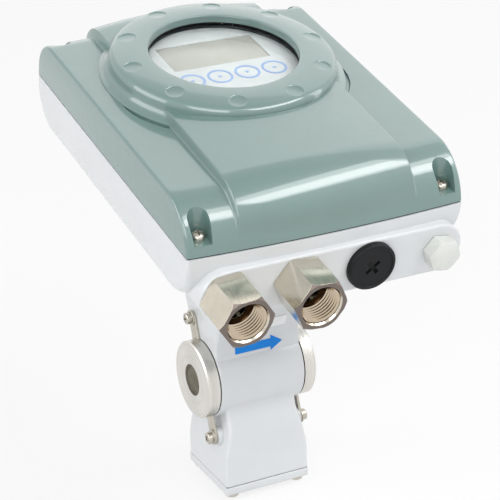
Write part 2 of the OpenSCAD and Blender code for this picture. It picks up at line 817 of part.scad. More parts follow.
module detector_body() color("#cdd2d6") difference() {
  union() {
    translate([-body_w / 2, 0, 0]) along_x(belly_r, body_w);
    neck_flare();
    neck_column();
    lower_box();
    at_straps() translate([-2 * side_inset, 0, strap_reach]) along_x(strap_boss_r, 2 * side_inset);
  }
  translate([-cavity_w / 2, 0, 0]) along_x(belly_cavity_r, cavity_w);
  translate([-cavity_w / 2, -neck_d / 2 + body_wall, -belly_cavity_r])
    cube([cavity_w, neck_d - 2 * body_wall, belly_cavity_r + flare_start]);
  box_hollow();
  translate([0, 0, -box_drop - over]) at_bottom_screws() cylinder(r = m4_r, h = bottom_post_l - body_wall);
  translate([side_inset - cavity_w / 2, -neck_d / 2 + body_wall, -box_drop])
    cube([cavity_w - 2 * side_inset, neck_d - 2 * body_wall, box_drop]);
  cylinder(r = passage_d / 2, h = head_z);
  translate([-neck_hollow / 2, -neck_hollow / 2, bushing_z + bushing_t + body_wall])
    cube([neck_hollow, neck_hollow, head_z]);
  translate([-body_w, 0, 0]) along_x(tube_r + fit, 2 * body_w);
  head() translate([0, neck_head_y, seat_z - neck_gasket_t - m4_len])
    at_corners(neck_screw_x, neck_screw_y) cylinder(r = m4_r, h = m4_len + base_h);
  at_straps() translate([-strap_hole, 0, strap_reach]) along_x(m4_r, strap_hole + over);
}

module wire_bushing() color("#2a2b2c") translate([0, 0, bushing_z]) difference() {
  cylinder(r = passage_d / 2 - fit, h = bushing_t);
  for (s = [-1, 1]) translate([s * lead_x, 0, -over]) cylinder(r = lead_r + fit, h = bushing_t + 2 * over);
}

// Top of the leads just under the tilted connector
lead_top = head_z + (main_z - connector_h) / cos(head_tilt) - head_y * tan(head_tilt)
  - lead_r * tan(head_tilt) - gap;

module lead(x) {
  translate([x, 0, flare_start + gap]) cylinder(r = lead_r, h = lead_top - flare_start - gap);
}
module coil_lead() color("#8c2f2b") lead(-lead_x);
module electrode_lead() color("#3b5f8f") lead(lead_x);

module measuring_tube() color("#c7c9cb") difference() {
  translate([-body_w / 2, 0, 0]) along_x(tube_r, body_w);
  translate([-body_w, 0, 0]) along_x(liner_r + fit / 2, 2 * body_w);
  for (s = [0, 180]) rotate([0, 0, s]) along_y(insulator_r + fit, tube_r + over);
}

module liner() color("#e6e4de") difference() {
  translate([-body_w / 2, 0, 0]) along_x(liner_r, body_w);
  translate([-body_w, 0, 0]) along_x(bore_d / 2, 2 * body_w);
  for (s = [0, 180]) rotate([0, 0, s]) along_y(electrode_r + fit, tube_r + over);
}

module electrodes() color("#b8babc") for (s = [0, 180]) rotate([0, 0, s]) difference() {
  translate([0, -bore_d / 4, 0]) along_y(electrode_r, tube_r + electrode_out - bore_d / 4);
  translate([-body_w / 2, 0, 0]) along_x(bore_d / 2 + fit, body_w);
}

module electrode_insulators() color("#efeeea") for (s = [0, 180]) rotate([0, 0, s]) difference() {
  translate([0, -liner_r - fit, 0]) along_y(insulator_r, tube_t + insulator_t);
  translate([0, -bore_d / 4, 0]) along_y(electrode_r + fit / 2, tube_r + electrode_out);
  translate([-body_w / 2, 0, 0]) along_x(liner_r + fit, body_w);
}

module electrode_nuts() color("#b8babc") for (s = [0, 180]) rotate([0, 0, s])
  translate([0, -liner_r - fit - tube_t - insulator_t - fit, 0]) difference() {
    rotate([90, 0, 0]) cylinder(r = nut_af / 2 / cos(30), h = nut_t, $fn = 6);
    translate([0, over, 0]) along_y(electrode_r + fit / 2, nut_t + 2 * over);
  }

module coils() color("#a4562c") for (s = [0, 180]) rotate([s, 0, 0])
  translate([0, 0, coil_z]) difference() {
    cylinder(r = coil_r, h = coil_h);
    translate([0, 0, -over]) cylinder(r = core_r + gap, h = coil_h + 2 * over);
  }

// Round core on a curved shoe that lies on the measuring tube
module pole_pieces() color("#8b8d90") for (s = [0, 180]) rotate([s, 0, 0]) difference() {
  union() {
    intersection() {
      translate([-shoe_l / 2, 0, 0]) along_x(tube_r + shoe_t, shoe_l);
      translate([-shoe_l, -tube_r * shoe_half_share, tube_r / 2])
        cube([2 * shoe_l, 2 * tube_r * shoe_half_share, tube_r]);
    }
    translate([0, 0, tube_r / 2]) cylinder(r = core_r, h = yoke_z - yoke_t - tube_r / 2 - fit);
  }
  translate([-shoe_l, 0, 0]) along_x(tube_r + fit, 2 * shoe_l);
}

// Half of the yoke: a U of sheet, its legs notched for the tube
module yoke_half() {
  difference() {
    intersection() {
      translate([-yoke_x, -yoke_wide / 2, fit / 2]) cube([2 * yoke_x, yoke_wide, yoke_z - fit / 2]);
      rotate([90, 0, 90]) translate([0, 0, -yoke_x]) linear_extrude(2 * yoke_x) polygon([
        [-yoke_wide / 2, 0], [-yoke_wide / 2, yoke_step_z], [-yoke_d / 2, 2 * yoke_step_z],
        [-yoke_d / 2, yoke_z], [yoke_d / 2, yoke_z], [yoke_d / 2, 2 * yoke_step_z],
        [yoke_wide / 2, yoke_step_z], [yoke_wide / 2, 0]]);
    }
    translate([-yoke_x + yoke_t, -yoke_wide, -over])
      cube([2 * (yoke_x - yoke_t), 2 * yoke_wide, yoke_z - yoke_t + over]);
    translate([-body_w, 0, 0]) along_x(tube_r + fit, 2 * body_w);
  }
}
module upper_yoke() color("#6f7276") yoke_half();
module lower_yoke() color("#6f7276") rotate([180, 0, 0]) yoke_half();

module ring_gaskets() color("#151516") for (s = [0, 180]) rotate([0, 0, s])
  translate([body_w / 2, 0, 0]) difference() {
    along_x(ring_od / 2, gasket_t);
    translate([-over, 0, 0]) along_x(bore_d / 2, gasket_t + 2 * over);
  }

module earth_ring() difference() {
  union() {
    along_x(ring_od / 2, ring_t - end_bevel);
    translate([ring_t - end_bevel, 0, 0]) rotate([0, 90, 0])
      cylinder(r1 = ring_od / 2, r2 = ring_od / 2 - end_bevel, h = end_bevel);
  }
  translate([-over, 0, 0]) along_x(bore_d / 2, ring_t + 2 * over);
}
module inlet_ring() color("#bfc1c3") translate([-body_w / 2 - gasket_t, 0, 0])
  mirror([1, 0, 0]) earth_ring();
module outlet_ring() color("#bfc1c3") translate([body_w / 2 + gasket_t, 0, 0]) earth_ring();

// Each strap runs from the rim of its ring out to a screw on the casting
module ring_straps() color("#b3b0a8") at_straps() difference() {
  union() {
    translate([0, -strap_w / 2, 0]) cube([strap_t, strap_w, strap_reach]);
    translate([0, 0, strap_reach]) along_x(strap_w / 2, strap_t);
  }
  translate([-over, 0, 0]) along_x(ring_od / 2 + fit, strap_t + 2 * over);
  translate([-over, 0, strap_reach]) along_x(m4_r + fit, strap_t + 2 * over);
}

module strap_washers() color("#c9cac8") at_straps() translate([strap_t, 0, strap_reach]) difference() {
  along_x(washer_r, washer_t);
  translate([-over, 0, 0]) along_x(m4_r + fit, washer_t + 2 * over);
}

module strap_screws() color("#c4c2bc") at_straps() translate([strap_t + washer_t, 0, strap_reach])
  rotate([0, 90, 0]) screw(m4_r - fit, m4_head_r, m4_head_h, m4_len - over, m4_socket_r);

module bottom_slab(t, inset) {
  linear_extrude(t) square([body_w - 2 * inset, box_d - 2 * inset], center = true);
}

module bottom_gasket() color("#1b1b1c") translate([0, 0, -box_drop - bottom_gasket_t]) difference() {
  bottom_slab(bottom_gasket_t, bottom_gasket_in);
  translate([0, 0, -over]) linear_extrude(bottom_gasket_t + 2 * over)
    square([body_w - 2 * bottom_gasket_w, box_d - 2 * bottom_gasket_w], center = true);
  translate([0, 0, -over]) at_bottom_screws() cylinder(r = m4_r + fit, h = bottom_gasket_t + 2 * over);
}

module at_bottom_screws() {
  at_corners(body_w / 2 - bottom_screw_off, box_d / 2 - bottom_screw_off) children();
}

bottom_z = -box_drop - bottom_gasket_t - bottom_t;

module bottom_cover() color("#c9ced2") difference() {
  union() {
    translate([0, 0, bottom_z + bottom_bevel]) bottom_slab(bottom_t - bottom_bevel, 0);
    translate([0, 0, bottom_z]) hull() {
      translate([0, 0, bottom_bevel - fit]) bottom_slab(fit, 0);
      bottom_slab(fit, bottom_bevel);
    }
  }
  translate([0, 0, bottom_z - over]) at_bottom_screws() cylinder(r = m4_r + fit, h = bottom_t + 2 * over);
}

module bottom_screws() color("#cfcdc8") translate([0, 0, bottom_z]) at_bottom_screws()
  rotate([180, 0, 0])
    screw(m4_r - fit, bottom_head_r, bottom_head_h, bottom_t + bottom_gasket_t + m4_len - over, m4_socket_r);

module flow_arrow() color("#0f6fc6") translate([arrow_x, -neck_d / 2, arrow_z]) rotate([90, 0, 0])
  linear_extrude(label_t) polygon([
    [-arrow_l / 2, -arrow_h * arrow_shaft_share / 2],
    [arrow_l / 2 - arrow_head_l, -arrow_h * arrow_shaft_share / 2],
    [arrow_l / 2 - arrow_head_l, -arrow_h / 2], [arrow_l / 2, 0],
    [arrow_l / 2 - arrow_head_l, arrow_h / 2],
    [arrow_l / 2 - arrow_head_l, arrow_h * arrow_shaft_share / 2],
    [-arrow_l / 2, arrow_h * arrow_shaft_share / 2]]);

flare_lean = atan((neck_top_d - neck_d) / 2 / (flare_z - flare_start));

module blank_label() color("#eceeee")
  translate([label_x, -neck_d / 2, flare_start]) rotate([flare_lean, 0, 0])
    translate([0, 0, (label_z - flare_start) / cos(flare_lean)]) rotate([90, 0, 0])
      linear_extrude(label_t) square([label_w, label_h], center = true);

cover();
window_glass();
window_gasket();
glass_retainer();
retainer_screws();
cover_screws();
seam_gasket();
base_housing();
port_seals();
left_adapter();
right_adapter();
round_plug();
hex_plug();
display_panel();
lcd_module();
key_rings();
panel_spacers();
display_board();
display_standoffs();
main_board();
board_standoffs();
board_screws();
power_board();
power_spacers();
transformer();
terminal_block();
terminal_screws();
earth_screw();
lead_connector();
neck_gasket();
neck_screws();
detector_body();
wire_bushing();
coil_lead();
electrode_lead();
measuring_tube();
liner();
electrodes();
electrode_insulators();
electrode_nuts();
coils();
pole_pieces();
upper_yoke();
lower_yoke();
ring_gaskets();
inlet_ring();
outlet_ring();
ring_straps();
strap_screws();
strap_washers();
bottom_gasket();
bottom_cover();
bottom_screws();
flow_arrow();
blank_label();
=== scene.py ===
"""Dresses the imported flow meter: painted castings, plated fittings, display, boards and a studio."""

import math

import bmesh
import bpy
from bpy.props import FloatProperty, FloatVectorProperty, IntProperty, PointerProperty
from bpy.types import Operator, Panel, PropertyGroup
from mathutils import Matrix, Vector


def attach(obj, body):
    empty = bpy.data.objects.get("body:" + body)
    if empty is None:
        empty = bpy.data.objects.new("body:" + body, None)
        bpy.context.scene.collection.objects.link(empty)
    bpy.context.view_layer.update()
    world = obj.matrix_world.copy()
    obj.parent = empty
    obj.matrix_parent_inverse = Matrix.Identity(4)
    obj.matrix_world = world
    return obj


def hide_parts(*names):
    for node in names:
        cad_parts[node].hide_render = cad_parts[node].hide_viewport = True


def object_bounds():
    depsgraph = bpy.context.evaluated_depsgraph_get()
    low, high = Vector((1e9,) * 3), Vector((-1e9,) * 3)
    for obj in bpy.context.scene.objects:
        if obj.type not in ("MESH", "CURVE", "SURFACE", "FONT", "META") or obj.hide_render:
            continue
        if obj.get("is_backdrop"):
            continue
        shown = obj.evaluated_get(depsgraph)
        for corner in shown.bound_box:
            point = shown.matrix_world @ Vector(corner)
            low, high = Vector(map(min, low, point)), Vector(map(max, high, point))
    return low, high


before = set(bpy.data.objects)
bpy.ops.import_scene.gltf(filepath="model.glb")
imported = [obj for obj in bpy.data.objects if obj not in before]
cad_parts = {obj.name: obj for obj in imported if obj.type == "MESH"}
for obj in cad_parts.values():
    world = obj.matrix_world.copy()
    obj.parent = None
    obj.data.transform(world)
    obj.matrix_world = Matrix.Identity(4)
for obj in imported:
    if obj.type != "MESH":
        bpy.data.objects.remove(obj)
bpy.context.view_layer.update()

bl_info = {
    "name": "Flow Meter",
    "version": (1, 0, 0),
    "blender": (4, 5, 0),
    "location": "View3D > Sidebar > Flow Meter",
    "description": "Builds the pieces, finishes and studio of a wafer flow meter",
    "category": "Object",
}


def linear(code):
    """Linear colour of a six-digit hexadecimal display colour."""
    channels = [int(code[i:i + 2], 16) / 255 for i in (0, 2, 4)]
    return tuple(c / 12.92 if c <= 0.04045 else ((c + 0.055) / 1.055) ** 2.4 for c in channels)


def length(name, text, default):
    return FloatProperty(name=name, description=text, default=default, min=0, unit="LENGTH", precision=4)


def colour(name, text, code):
    return FloatVectorProperty(name=name, description=text, default=linear(code), min=0, max=1,
                               size=3, subtype="COLOR")


class MeterSizes(PropertyGroup):
    head_tilt: FloatProperty(name="Head tilt", description="Lean of the head towards its entries",
                             default=math.radians(12), subtype="ANGLE")
    head_height: length("Head height", "Seam plane above the flow axis", 0.1384)
    head_back: length("Head setback", "How far the head's middle lies in front of the flow axis", 0.003)
    head_width: length("Head width", "Size of the head along the flow direction", 0.155)
    head_length: length("Head length", "Size of the head at the seam corners", 0.1976)
    end_bow: length("End bow", "Outward bow of the two short ends", 0.0026)
    cover_height: length("Cover height", "Top of the side flats above the seam", 0.0238)
    band_rise: length("Band rise", "Rise of the middle band's edges above the side flats", 0.0055)
    band_crown: length("Band crown", "Rise of the band's middle above its edges", 0.003)
    band_half: length("Band half width", "Half width of the middle band", 0.049)
    near_roll: length("Near roll", "Radius of the roll at the entry end", 0.0285)
    far_roll: length("Far roll", "Radius of the roll at the far end", 0.018)
    window_back: length("Window offset", "Middle of the window behind the head's middle", 0.0274)
    window_bore: length("Window opening", "Diameter of the window opening", 0.0806)
    ring_width: length("Window ring", "Outer diameter of the window ring", 0.122)
    ring_crest: length("Ring crest", "Crest of the window ring above the seam", 0.0375)
    dimples: IntProperty(name="Dimples", description="Number of finger dimples", default=10,
                         min=3, max=24)
    base_depth: length("Base depth", "Depth of the base below the seam", 0.0315)
    port_depth: length("Entry depth", "Entries' axis below the seam", 0.0212)
    adapter_flats: length("Adapter flats", "Width across the adapters' flats", 0.026)
    plug_flats: length("Plug flats", "Width across the hexagonal plug's flats", 0.0163)
    thread_pitch: length("Thread pitch", "Pitch of the conduit thread", 0.001814)


class MeterColours(PropertyGroup):
    cover_paint: colour("Cover paint", "Glossy paint of the cover", "67837E")
    housing_paint: colour("Housing paint", "Paint of the base and the detector", "D3D6D8")
    nickel: colour("Nickel", "Plating of the adapters", "D6CFC0")
    # The end faces' darker nickel is painted shade on the same plating.
    nickel_end: colour("Nickel end", "Worn end faces of the adapters", "7F756F")
    # Thread valleys and crests are one brass in two tones: the valleys' darker tone is painted shade.
    thread: colour("Thread valleys", "Oiled brass inside the adapters", "7A6957")
    # The crests' brighter brass is a painted highlight.
    thread_crest: colour("Thread crests", "Bright ridges inside the adapters", "C8B8A2")
    steel: colour("Steel", "Turned stainless steel", "DEDBD5")
    zinc: colour("Zinc", "Plated screws and straps", "C4BFB4")
    rubber: colour("Rubber", "Gaskets and seals", "101113")
    grey_gasket: colour("Grey gasket", "Gasket of the bottom cover", "8E9193")
    panel_film: colour("Panel film", "Film behind the window", "C8CCCC")
    display: colour("Display", "Idle liquid crystal", "A9A99F")
    key_blue: colour("Key blue", "Printed key rings", "7A9ED2")
    arrow_blue: colour("Arrow blue", "Flow arrow", "0A80DA")
    label_white: colour("Label white", "Blank label", "E9EBEC")
    black_plug: colour("Black plug", "Round blind plug", "17181A")
    white_plug: colour("White plug", "Hexagonal blind plug", "D8DBD6")
    window_glass: colour("Window glass", "Tint of the window", "FAFCFC")
    circuit_board: colour("Circuit board", "Solder mask of the boards", "1F5B3A")
    chip_black: colour("Chip black", "Chips, terminals and retainer", "232426")
    core_iron: colour("Core iron", "Laminated core of the transformer", "5A5C60")
    soft_iron: colour("Soft iron", "Yoke, pole pieces and cans", "8C8E92")
    copper: colour("Copper", "Enamelled wire of the coils", "B4652F")
    brass: colour("Brass", "Earth screw", "C9A557")
    liner: colour("Liner", "Liner and insulators", "E6E3DA")
    lead_red: colour("Red lead", "Insulation of the coil lead", "A5342C")
    lead_blue: colour("Blue lead", "Insulation of the electrode lead", "3E69A6")


def sizes():
    return bpy.context.scene.flow_meter_sizes


def colours():
    return bpy.context.scene.flow_meter_colours


# Measures that no property drives, in millimetres where they are lengths

SHARP_FROM = 32  # degrees between faces that stay a sharp edge
SEAM = 0.8  # thickness of the seam gasket, where the cover starts
HEAD_WALL = 3.6
COVER_EDGE, HOLLOW_EDGE = 1.6, 0.4  # rounding of the cover's long edges, outside and in its hollow
BAND_FOOT = 1.7  # reach of the band's edge beyond its half width
DOME_CREST, DOME_RADIUS = 3, 60  # the ring's crest from its opening, and its rounding
SCREW_SIDE, SCREW_END = 9, 8.5  # the cover screws from the head's edges
POCKET_FLOOR = 6
PORTS, PORT_MARGIN, PORT_SHIFT = 4, 17.5, 2  # entries, the outer ones from the sides, all to the right
PORT_GAP = 0.2  # between the boss and what is screwed in
PORT, SMALL_PORT = (10, 12.5), (6, 7.7)  # radius of a bore and of its seal's seat
BOSS_OUT, BOSS_RADIUS, BOSS_DEPTH = 6, 14.2, 20
ADAPTER_LENGTH, THREAD_ROOT, THREAD_START = 24, 10.6, 9
CASTING_HALF, PLATE_LOW = 25.6, -64  # half length of the casting, underside of its plate
BOTTOM_SCREW, SCREW_HOLE = (20.2, 19.3), 2.1
STRAP_ANGLE, STRAP_SCREW = 20, 34  # lean in degrees, and the screws from the flow axis
KEY_PITCH, BOARD_TOP = 16, -7.4
EVEN = (1, 1, 1)


# Places: pieces are modelled in millimetres, in their own frames

def mm(value):
    return value * 1000


def at(x=0.0, y=0.0, z=0.0):
    return Matrix.Translation((x, y, z))


def spun(angle, axis="Z"):
    return Matrix.Rotation(angle, 4, axis)


def head_place():
    s = sizes()
    return at(0, -mm(s.head_back), mm(s.head_height)) @ spun(s.head_tilt, "X")


def along_y(x, y, z):
    """Turns a shape made along +Z so that it runs along -Y from a point of the head."""
    return at(x, y, z) @ spun(math.radians(90), "X")


def along_x():
    """Turns a shape made along +Z so that it runs along the flow axis."""
    return spun(math.radians(90), "Y")


def port_x(index):
    pitch = (mm(sizes().head_width) - 2 * PORT_MARGIN) / (PORTS - 1)
    return PORT_SHIFT + (index - (PORTS - 1) / 2) * pitch


def port_place(index, lift=0.0):
    """Frame of an entry on the boss: +Z out of the head."""
    s = sizes()
    return along_y(port_x(index), -mm(s.head_length) / 2 - BOSS_OUT - lift, -mm(s.port_depth))


# Shapes

def moved(bm, matrix):
    bmesh.ops.transform(bm, matrix=matrix, verts=bm.verts)
    return bm


def shown(name, data):
    """A new object of the scene for a mesh, a light or a camera."""
    thing = bpy.data.objects.new(name, data)
    bpy.context.scene.collection.objects.link(thing)
    return thing


def joined(*parts):
    """One bmesh holding all the parts."""
    whole = parts[0]
    for part in parts[1:]:
        mesh = bpy.data.meshes.new("joining")
        part.to_mesh(mesh)
        part.free()
        whole.from_mesh(mesh)
        bpy.data.meshes.remove(mesh)
    return whole


def turned(profile, steps=96, closed=False):
    """A shape turned about Z from a profile of (radius, height) points."""
    bm = bmesh.new()
    verts = [bm.verts.new((r, 0, z)) for r, z in profile]
    pairs = list(zip(verts, verts[1:])) + ([(verts[-1], verts[0])] if closed else [])
    edges = [bm.edges.new(pair) for pair in pairs]
    bmesh.ops.spin(bm, geom=verts + edges, cent=(0, 0, 0), axis=(0, 0, 1), angle=math.tau,
                   steps=steps, use_merge=True)
    bmesh.ops.remove_doubles(bm, verts=bm.verts, dist=1e-4)
    bmesh.ops.recalc_face_normals(bm, faces=bm.faces)
    return bm


def bend(x, y, radius, start, end, steps):
    """Points of a circle from one angle in degrees to another."""
    turns = [math.radians(start + (end - start) * i / steps) for i in range(steps + 1)]
    return [(x + radius * math.cos(a), y + radius * math.sin(a)) for a in turns]


def rod(radius, low, high, edge=0.0, steps=64):
    """A round bar along Z, with its two rims rounded off."""
    near = bend(radius - edge, low + edge, edge, -90, 0, 3) if edge else [(radius, low)]
    far = [(r, low + high - z) for r, z in reversed(near)]
    return turned([(0, low)] + near + far + [(0, high)], steps)


def bevel(bm, edges, width, segments, clamped=False):
    bmesh.ops.bevel(bm, geom=edges, offset=width, offset_type="OFFSET", affect="EDGES",
                    segments=segments, profile=0.5, clamp_overlap=clamped, material=-1)


def block(low, high, edge=0.0, segments=3):
    """A box between two corners, its edges rounded off."""
    bm = bmesh.new()
    bmesh.ops.create_cube(bm, size=1)
    size = [b - a for a, b in zip(low, high)]
    middle = [(a + b) / 2 for a, b in zip(low, high)]
    bmesh.ops.scale(bm, vec=size, verts=bm.verts)
    bmesh.ops.translate(bm, vec=middle, verts=bm.verts)
    if edge:
        bevel(bm, bm.edges[:], edge, segments)
    return bm


def slab(outline, low, high, edge=0.0, segments=3):
    """A prism along Z from an outline of (x, y) points, its rims rounded off."""
    bm = bmesh.new()
    face = bm.faces.new([bm.verts.new((x, y, low)) for x, y in outline])
    raised = bmesh.ops.extrude_face_region(bm, geom=[face], use_keep_orig=True)
    top = [g for g in raised["geom"] if isinstance(g, bmesh.types.BMVert)]
    bmesh.ops.translate(bm, vec=(0, 0, high - low), verts=top)
    bmesh.ops.recalc_face_normals(bm, faces=bm.faces)
    if edge:
        rims = [e for e in bm.edges if abs(e.verts[0].co.z - e.verts[1].co.z) < 1e-4
                and e.calc_face_angle() > math.radians(40)]
        bevel(bm, rims, edge, segments)
    return bm


QUARTERS = ((-1, -1), (1, -1), (1, 1), (-1, 1))


def stack(rows, edge, angle=12, segments=3):
    """A closed block through rows of four corners, its long edges and its breaks rounded off."""
    bm = bmesh.new()
    top = bm.faces.new([bm.verts.new(co) for co in rows[0]])
    base = bmesh.ops.extrude_face_region(bm, geom=[top], use_keep_orig=True)
    top = next(g for g in base["geom"] if isinstance(g, bmesh.types.BMFace))
    for count, row in enumerate(rows[1:]):
        if count:
            grown = bmesh.ops.extrude_discrete_faces(bm, faces=[top])
            top = grown["faces"][0]
        spare = list(row)
        for v in top.verts:
            match = min(spare, key=lambda co: -(co.x * v.co.x + co.y * v.co.y))
            v.co = match
            spare.remove(match)
    bmesh.ops.recalc_face_normals(bm, faces=bm.faces)
    caps = [{tuple(co) for co in rows[0]}, {tuple(co) for co in rows[-1]}]
    rims = [e for e in bm.edges if e.is_manifold and e.calc_face_angle() > math.radians(angle)
            and not any(tuple(e.verts[0].co) in cap and tuple(e.verts[1].co) in cap for cap in caps)]
    bevel(bm, rims, edge, segments, True)
    return bm


def cut(bm, tool, how="DIFFERENCE"):
    """bm with the tool taken from it, joined to it or kept inside it."""
    made = []
    for part in (bm, tool):
        bmesh.ops.recalc_face_normals(part, faces=part.faces)
        mesh = bpy.data.meshes.new("cutting")
        part.to_mesh(mesh)
        part.free()
        made.append(shown("cutting", mesh))
    step = made[0].modifiers.new("cut", "BOOLEAN")
    step.operation = how
    step.solver = "EXACT"
    step.object = made[1]
    result = bmesh.new()
    result.from_object(made[0], bpy.context.evaluated_depsgraph_get())
    for thing in made:
        mesh = thing.data
        bpy.data.objects.remove(thing)
        bpy.data.meshes.remove(mesh)
    bmesh.ops.remove_doubles(result, verts=result.verts, dist=1e-4)
    bmesh.ops.dissolve_degenerate(result, edges=result.edges, dist=1e-4)
    return result


def soften(bm, width, angle, where):
    """Rounds off the edges that are sharper than an angle and where a test asks for it."""
    rims = [e for e in bm.edges if e.is_manifold and e.calc_face_angle() > math.radians(angle)
            and where(e)]
    bevel(bm, rims, width, 2, True)


def drill(bm, radius, low, high, place=None, steps=64):
    """bm with a round hole along Z of a place."""
    tool = rod(radius, low, high, steps=steps)
    return cut(bm, moved(tool, place) if place else tool)


def settle(name, bm, place, body, looks, replaces=()):
    """Turns a shape into a finished piece that rides on a body of the frame."""
    if not bm.faces:
        raise RuntimeError(f"{name} came out empty")
    bmesh.ops.transform(bm, matrix=Matrix.Scale(0.001, 4) @ place, verts=bm.verts)
    bmesh.ops.recalc_face_normals(bm, faces=bm.faces)
    mesh = bpy.data.meshes.new(name)
    bm.to_mesh(mesh)
    bm.free()
    mesh.shade_smooth()
    mesh.set_sharp_from_angle(angle=math.radians(SHARP_FROM))
    piece = shown(name, mesh)
    for look in [looks] if isinstance(looks, str) else looks:
        mesh.materials.append(finish(look))
    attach(piece, body)
    if replaces:
        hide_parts(*replaces)
    return piece


def dress(look, *nodes):
    """Gives CAD nodes whose shape is right a finished material."""
    for node in nodes:
        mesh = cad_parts[node].data
        mesh.materials.clear()
        mesh.materials.append(finish(look))


# Finishes

class Recipe:
    """The nodes of a material or a world, and short calls that add and feed them."""

    def __init__(self, owner):
        owner.use_nodes = True
        self.owner = owner
        self.tree = owner.node_tree
        self.shader = self.tree.nodes.get("Principled BSDF")
        where = self.add("ShaderNodeTexCoord")
        self.place, self.direction = where.outputs["Object"], where.outputs["Generated"]

    def add(self, kind, **values):
        node = self.tree.nodes.new(kind)
        for key, value in values.items():
            setattr(node, key, value)
        return node

    def link(self, source, target):
        self.tree.links.new(source, target)

    def feed(self, socket, value):
        """Links a socket to another one, or sets its value."""
        if isinstance(value, bpy.types.NodeSocket):
            self.link(value, socket)
        else:
            socket.default_value = value

    def put(self, node, **values):
        """The node, its named inputs linked or set, with _ for a blank in a name."""
        for key, value in values.items():
            self.feed(node.inputs[key.replace("_", " ")], value)
        return node

    def noise(self, scale, detail=3.0, roughness=0.55, source=None, stretch=EVEN):
        mapping = self.put(self.add("ShaderNodeMapping"), Scale=stretch, Vector=source or self.place)
        noise = self.put(self.add("ShaderNodeTexNoise"), Scale=scale, Detail=detail,
                         Roughness=roughness, Vector=mapping.outputs["Vector"])
        return noise.outputs["Fac"]

    def maths(self, operation, *values):
        node = self.add("ShaderNodeMath", operation=operation)
        for socket, value in zip(node.inputs, values):
            self.feed(socket, value)
        return node.outputs[0]

    def span(self, value, low, high, start=0.3, end=0.7):
        """A value brought from between start and end to between low and high."""
        node = self.put(self.add("ShaderNodeMapRange"), Value=value, From_Min=start, From_Max=end,
                        To_Min=low, To_Max=high)
        return node.outputs["Result"]

    def blend(self, factor, first, second):
        node = self.add("ShaderNodeMix", data_type="RGBA")
        self.feed(node.inputs["Factor"], factor)
        for key, tone in (("A", first), ("B", second)):
            self.feed(node.inputs[key], tone if isinstance(tone, bpy.types.NodeSocket) else (*tone, 1))
        return node.outputs["Result"]

    def paint(self, source):
        self.put(self.shader, Base_Color=source)

    def rough(self, source):
        self.put(self.shader, Roughness=source)

    def relief(self, height, strength, distance=0.0001, edge=0.0):
        """Bump from a height, over edges that look rounded by a radius."""
        bump = self.put(self.add("ShaderNodeBump"), Strength=strength, Distance=distance, Height=height)
        if edge:
            rounding = self.put(self.add("ShaderNodeBevel", samples=8), Radius=edge)
            self.put(bump, Normal=rounding.outputs["Normal"])
        self.put(self.shader, Normal=bump.outputs["Normal"])

    def fixed(self, **values):
        self.put(self.shader, **values)


def shade(tone, share):
    return tuple(min(1, c * share) for c in tone)


def paint_finish(name, tone, roughness, coat, clear, edge):
    """Baked paint: faint cloudiness under a clear coat, and edges that catch the light."""
    r = Recipe(bpy.data.materials.new(name))
    cloud = r.noise(30, 4)
    r.paint(r.blend(r.span(cloud, 0, 1), shade(tone, 0.97), shade(tone, 1.03)))
    r.rough(r.span(r.noise(260, 2), roughness - 0.03, roughness + 0.04))
    r.fixed(Coat_Weight=coat, Coat_Roughness=0.08, Coat_IOR=clear)
    r.relief(r.noise(90, 1), 0.01, 0.00002, edge)
    return r.owner


def metal_finish(name, tone, roughness, lines=EVEN, scale=900, strength=0.12, edge=0.0003):
    """Bare or plated metal with fine lines along its working direction."""
    r = Recipe(bpy.data.materials.new(name))
    grain = r.noise(scale, 4, 0.6, stretch=lines)
    patch = r.noise(70, 3)
    r.paint(r.blend(r.span(patch, 0, 1), shade(tone, 0.9), shade(tone, 1.05)))
    r.rough(r.span(grain, roughness - 0.06, roughness + 0.08))
    r.fixed(Metallic=1.0)
    r.relief(grain, strength, 0.00004, edge)
    return r.owner


def turned_finish(name, tone, roughness):
    """Turned metal with rings round an axis along X."""
    r = Recipe(bpy.data.materials.new(name))
    split = r.put(r.add("ShaderNodeSeparateXYZ"), Vector=r.place)
    squares = [r.maths("MULTIPLY", split.outputs[key], split.outputs[key]) for key in "YZ"]
    reach = r.maths("SQRT", r.maths("ADD", *squares))
    rings = r.put(r.add("ShaderNodeCombineXYZ"), X=split.outputs["X"], Y=reach)
    lines = r.noise(2600, 2, 0.7, source=rings.outputs[0])
    broad = r.noise(420, 2, 0.6, source=rings.outputs[0])
    r.paint(r.blend(r.span(broad, 0, 1), shade(tone, 0.88), shade(tone, 1.05)))
    r.rough(r.span(lines, roughness - 0.07, roughness + 0.1))
    swirl = r.add("ShaderNodeTangent", direction_type="RADIAL", axis="X")
    r.fixed(Tangent=swirl.outputs[0], Metallic=1.0, Anisotropic=0.75)
    r.relief(lines, 0.08, 0.00003)
    return r.owner


def moulded_finish(name, tone, roughness, grain=1400, strength=0.1, edge=0.0003, gleam=0.5):
    """Moulded plastic or rubber with a fine grain and slight tone changes."""
    r = Recipe(bpy.data.materials.new(name))
    r.paint(r.blend(r.span(r.noise(90, 3), 0, 1), shade(tone, 0.93), shade(tone, 1.06)))
    r.rough(r.span(r.noise(400, 2), roughness - 0.05, roughness + 0.06))
    r.fixed(Specular_IOR_Level=gleam)
    r.relief(r.noise(grain, 2), strength, 0.00004, edge)
    return r.owner


def glass_finish(name, tone):
    """Clear glass that bends the view little and mirrors in its coat."""
    r = Recipe(bpy.data.materials.new(name))
    r.paint(r.blend(r.span(r.noise(20, 2), 0, 1), shade(tone, 0.99), shade(tone, 1.01)))
    r.fixed(Roughness=0.0, Transmission_Weight=1.0, IOR=1.04, Coat_Weight=0.55, Coat_Roughness=0.02)
    return r.owner


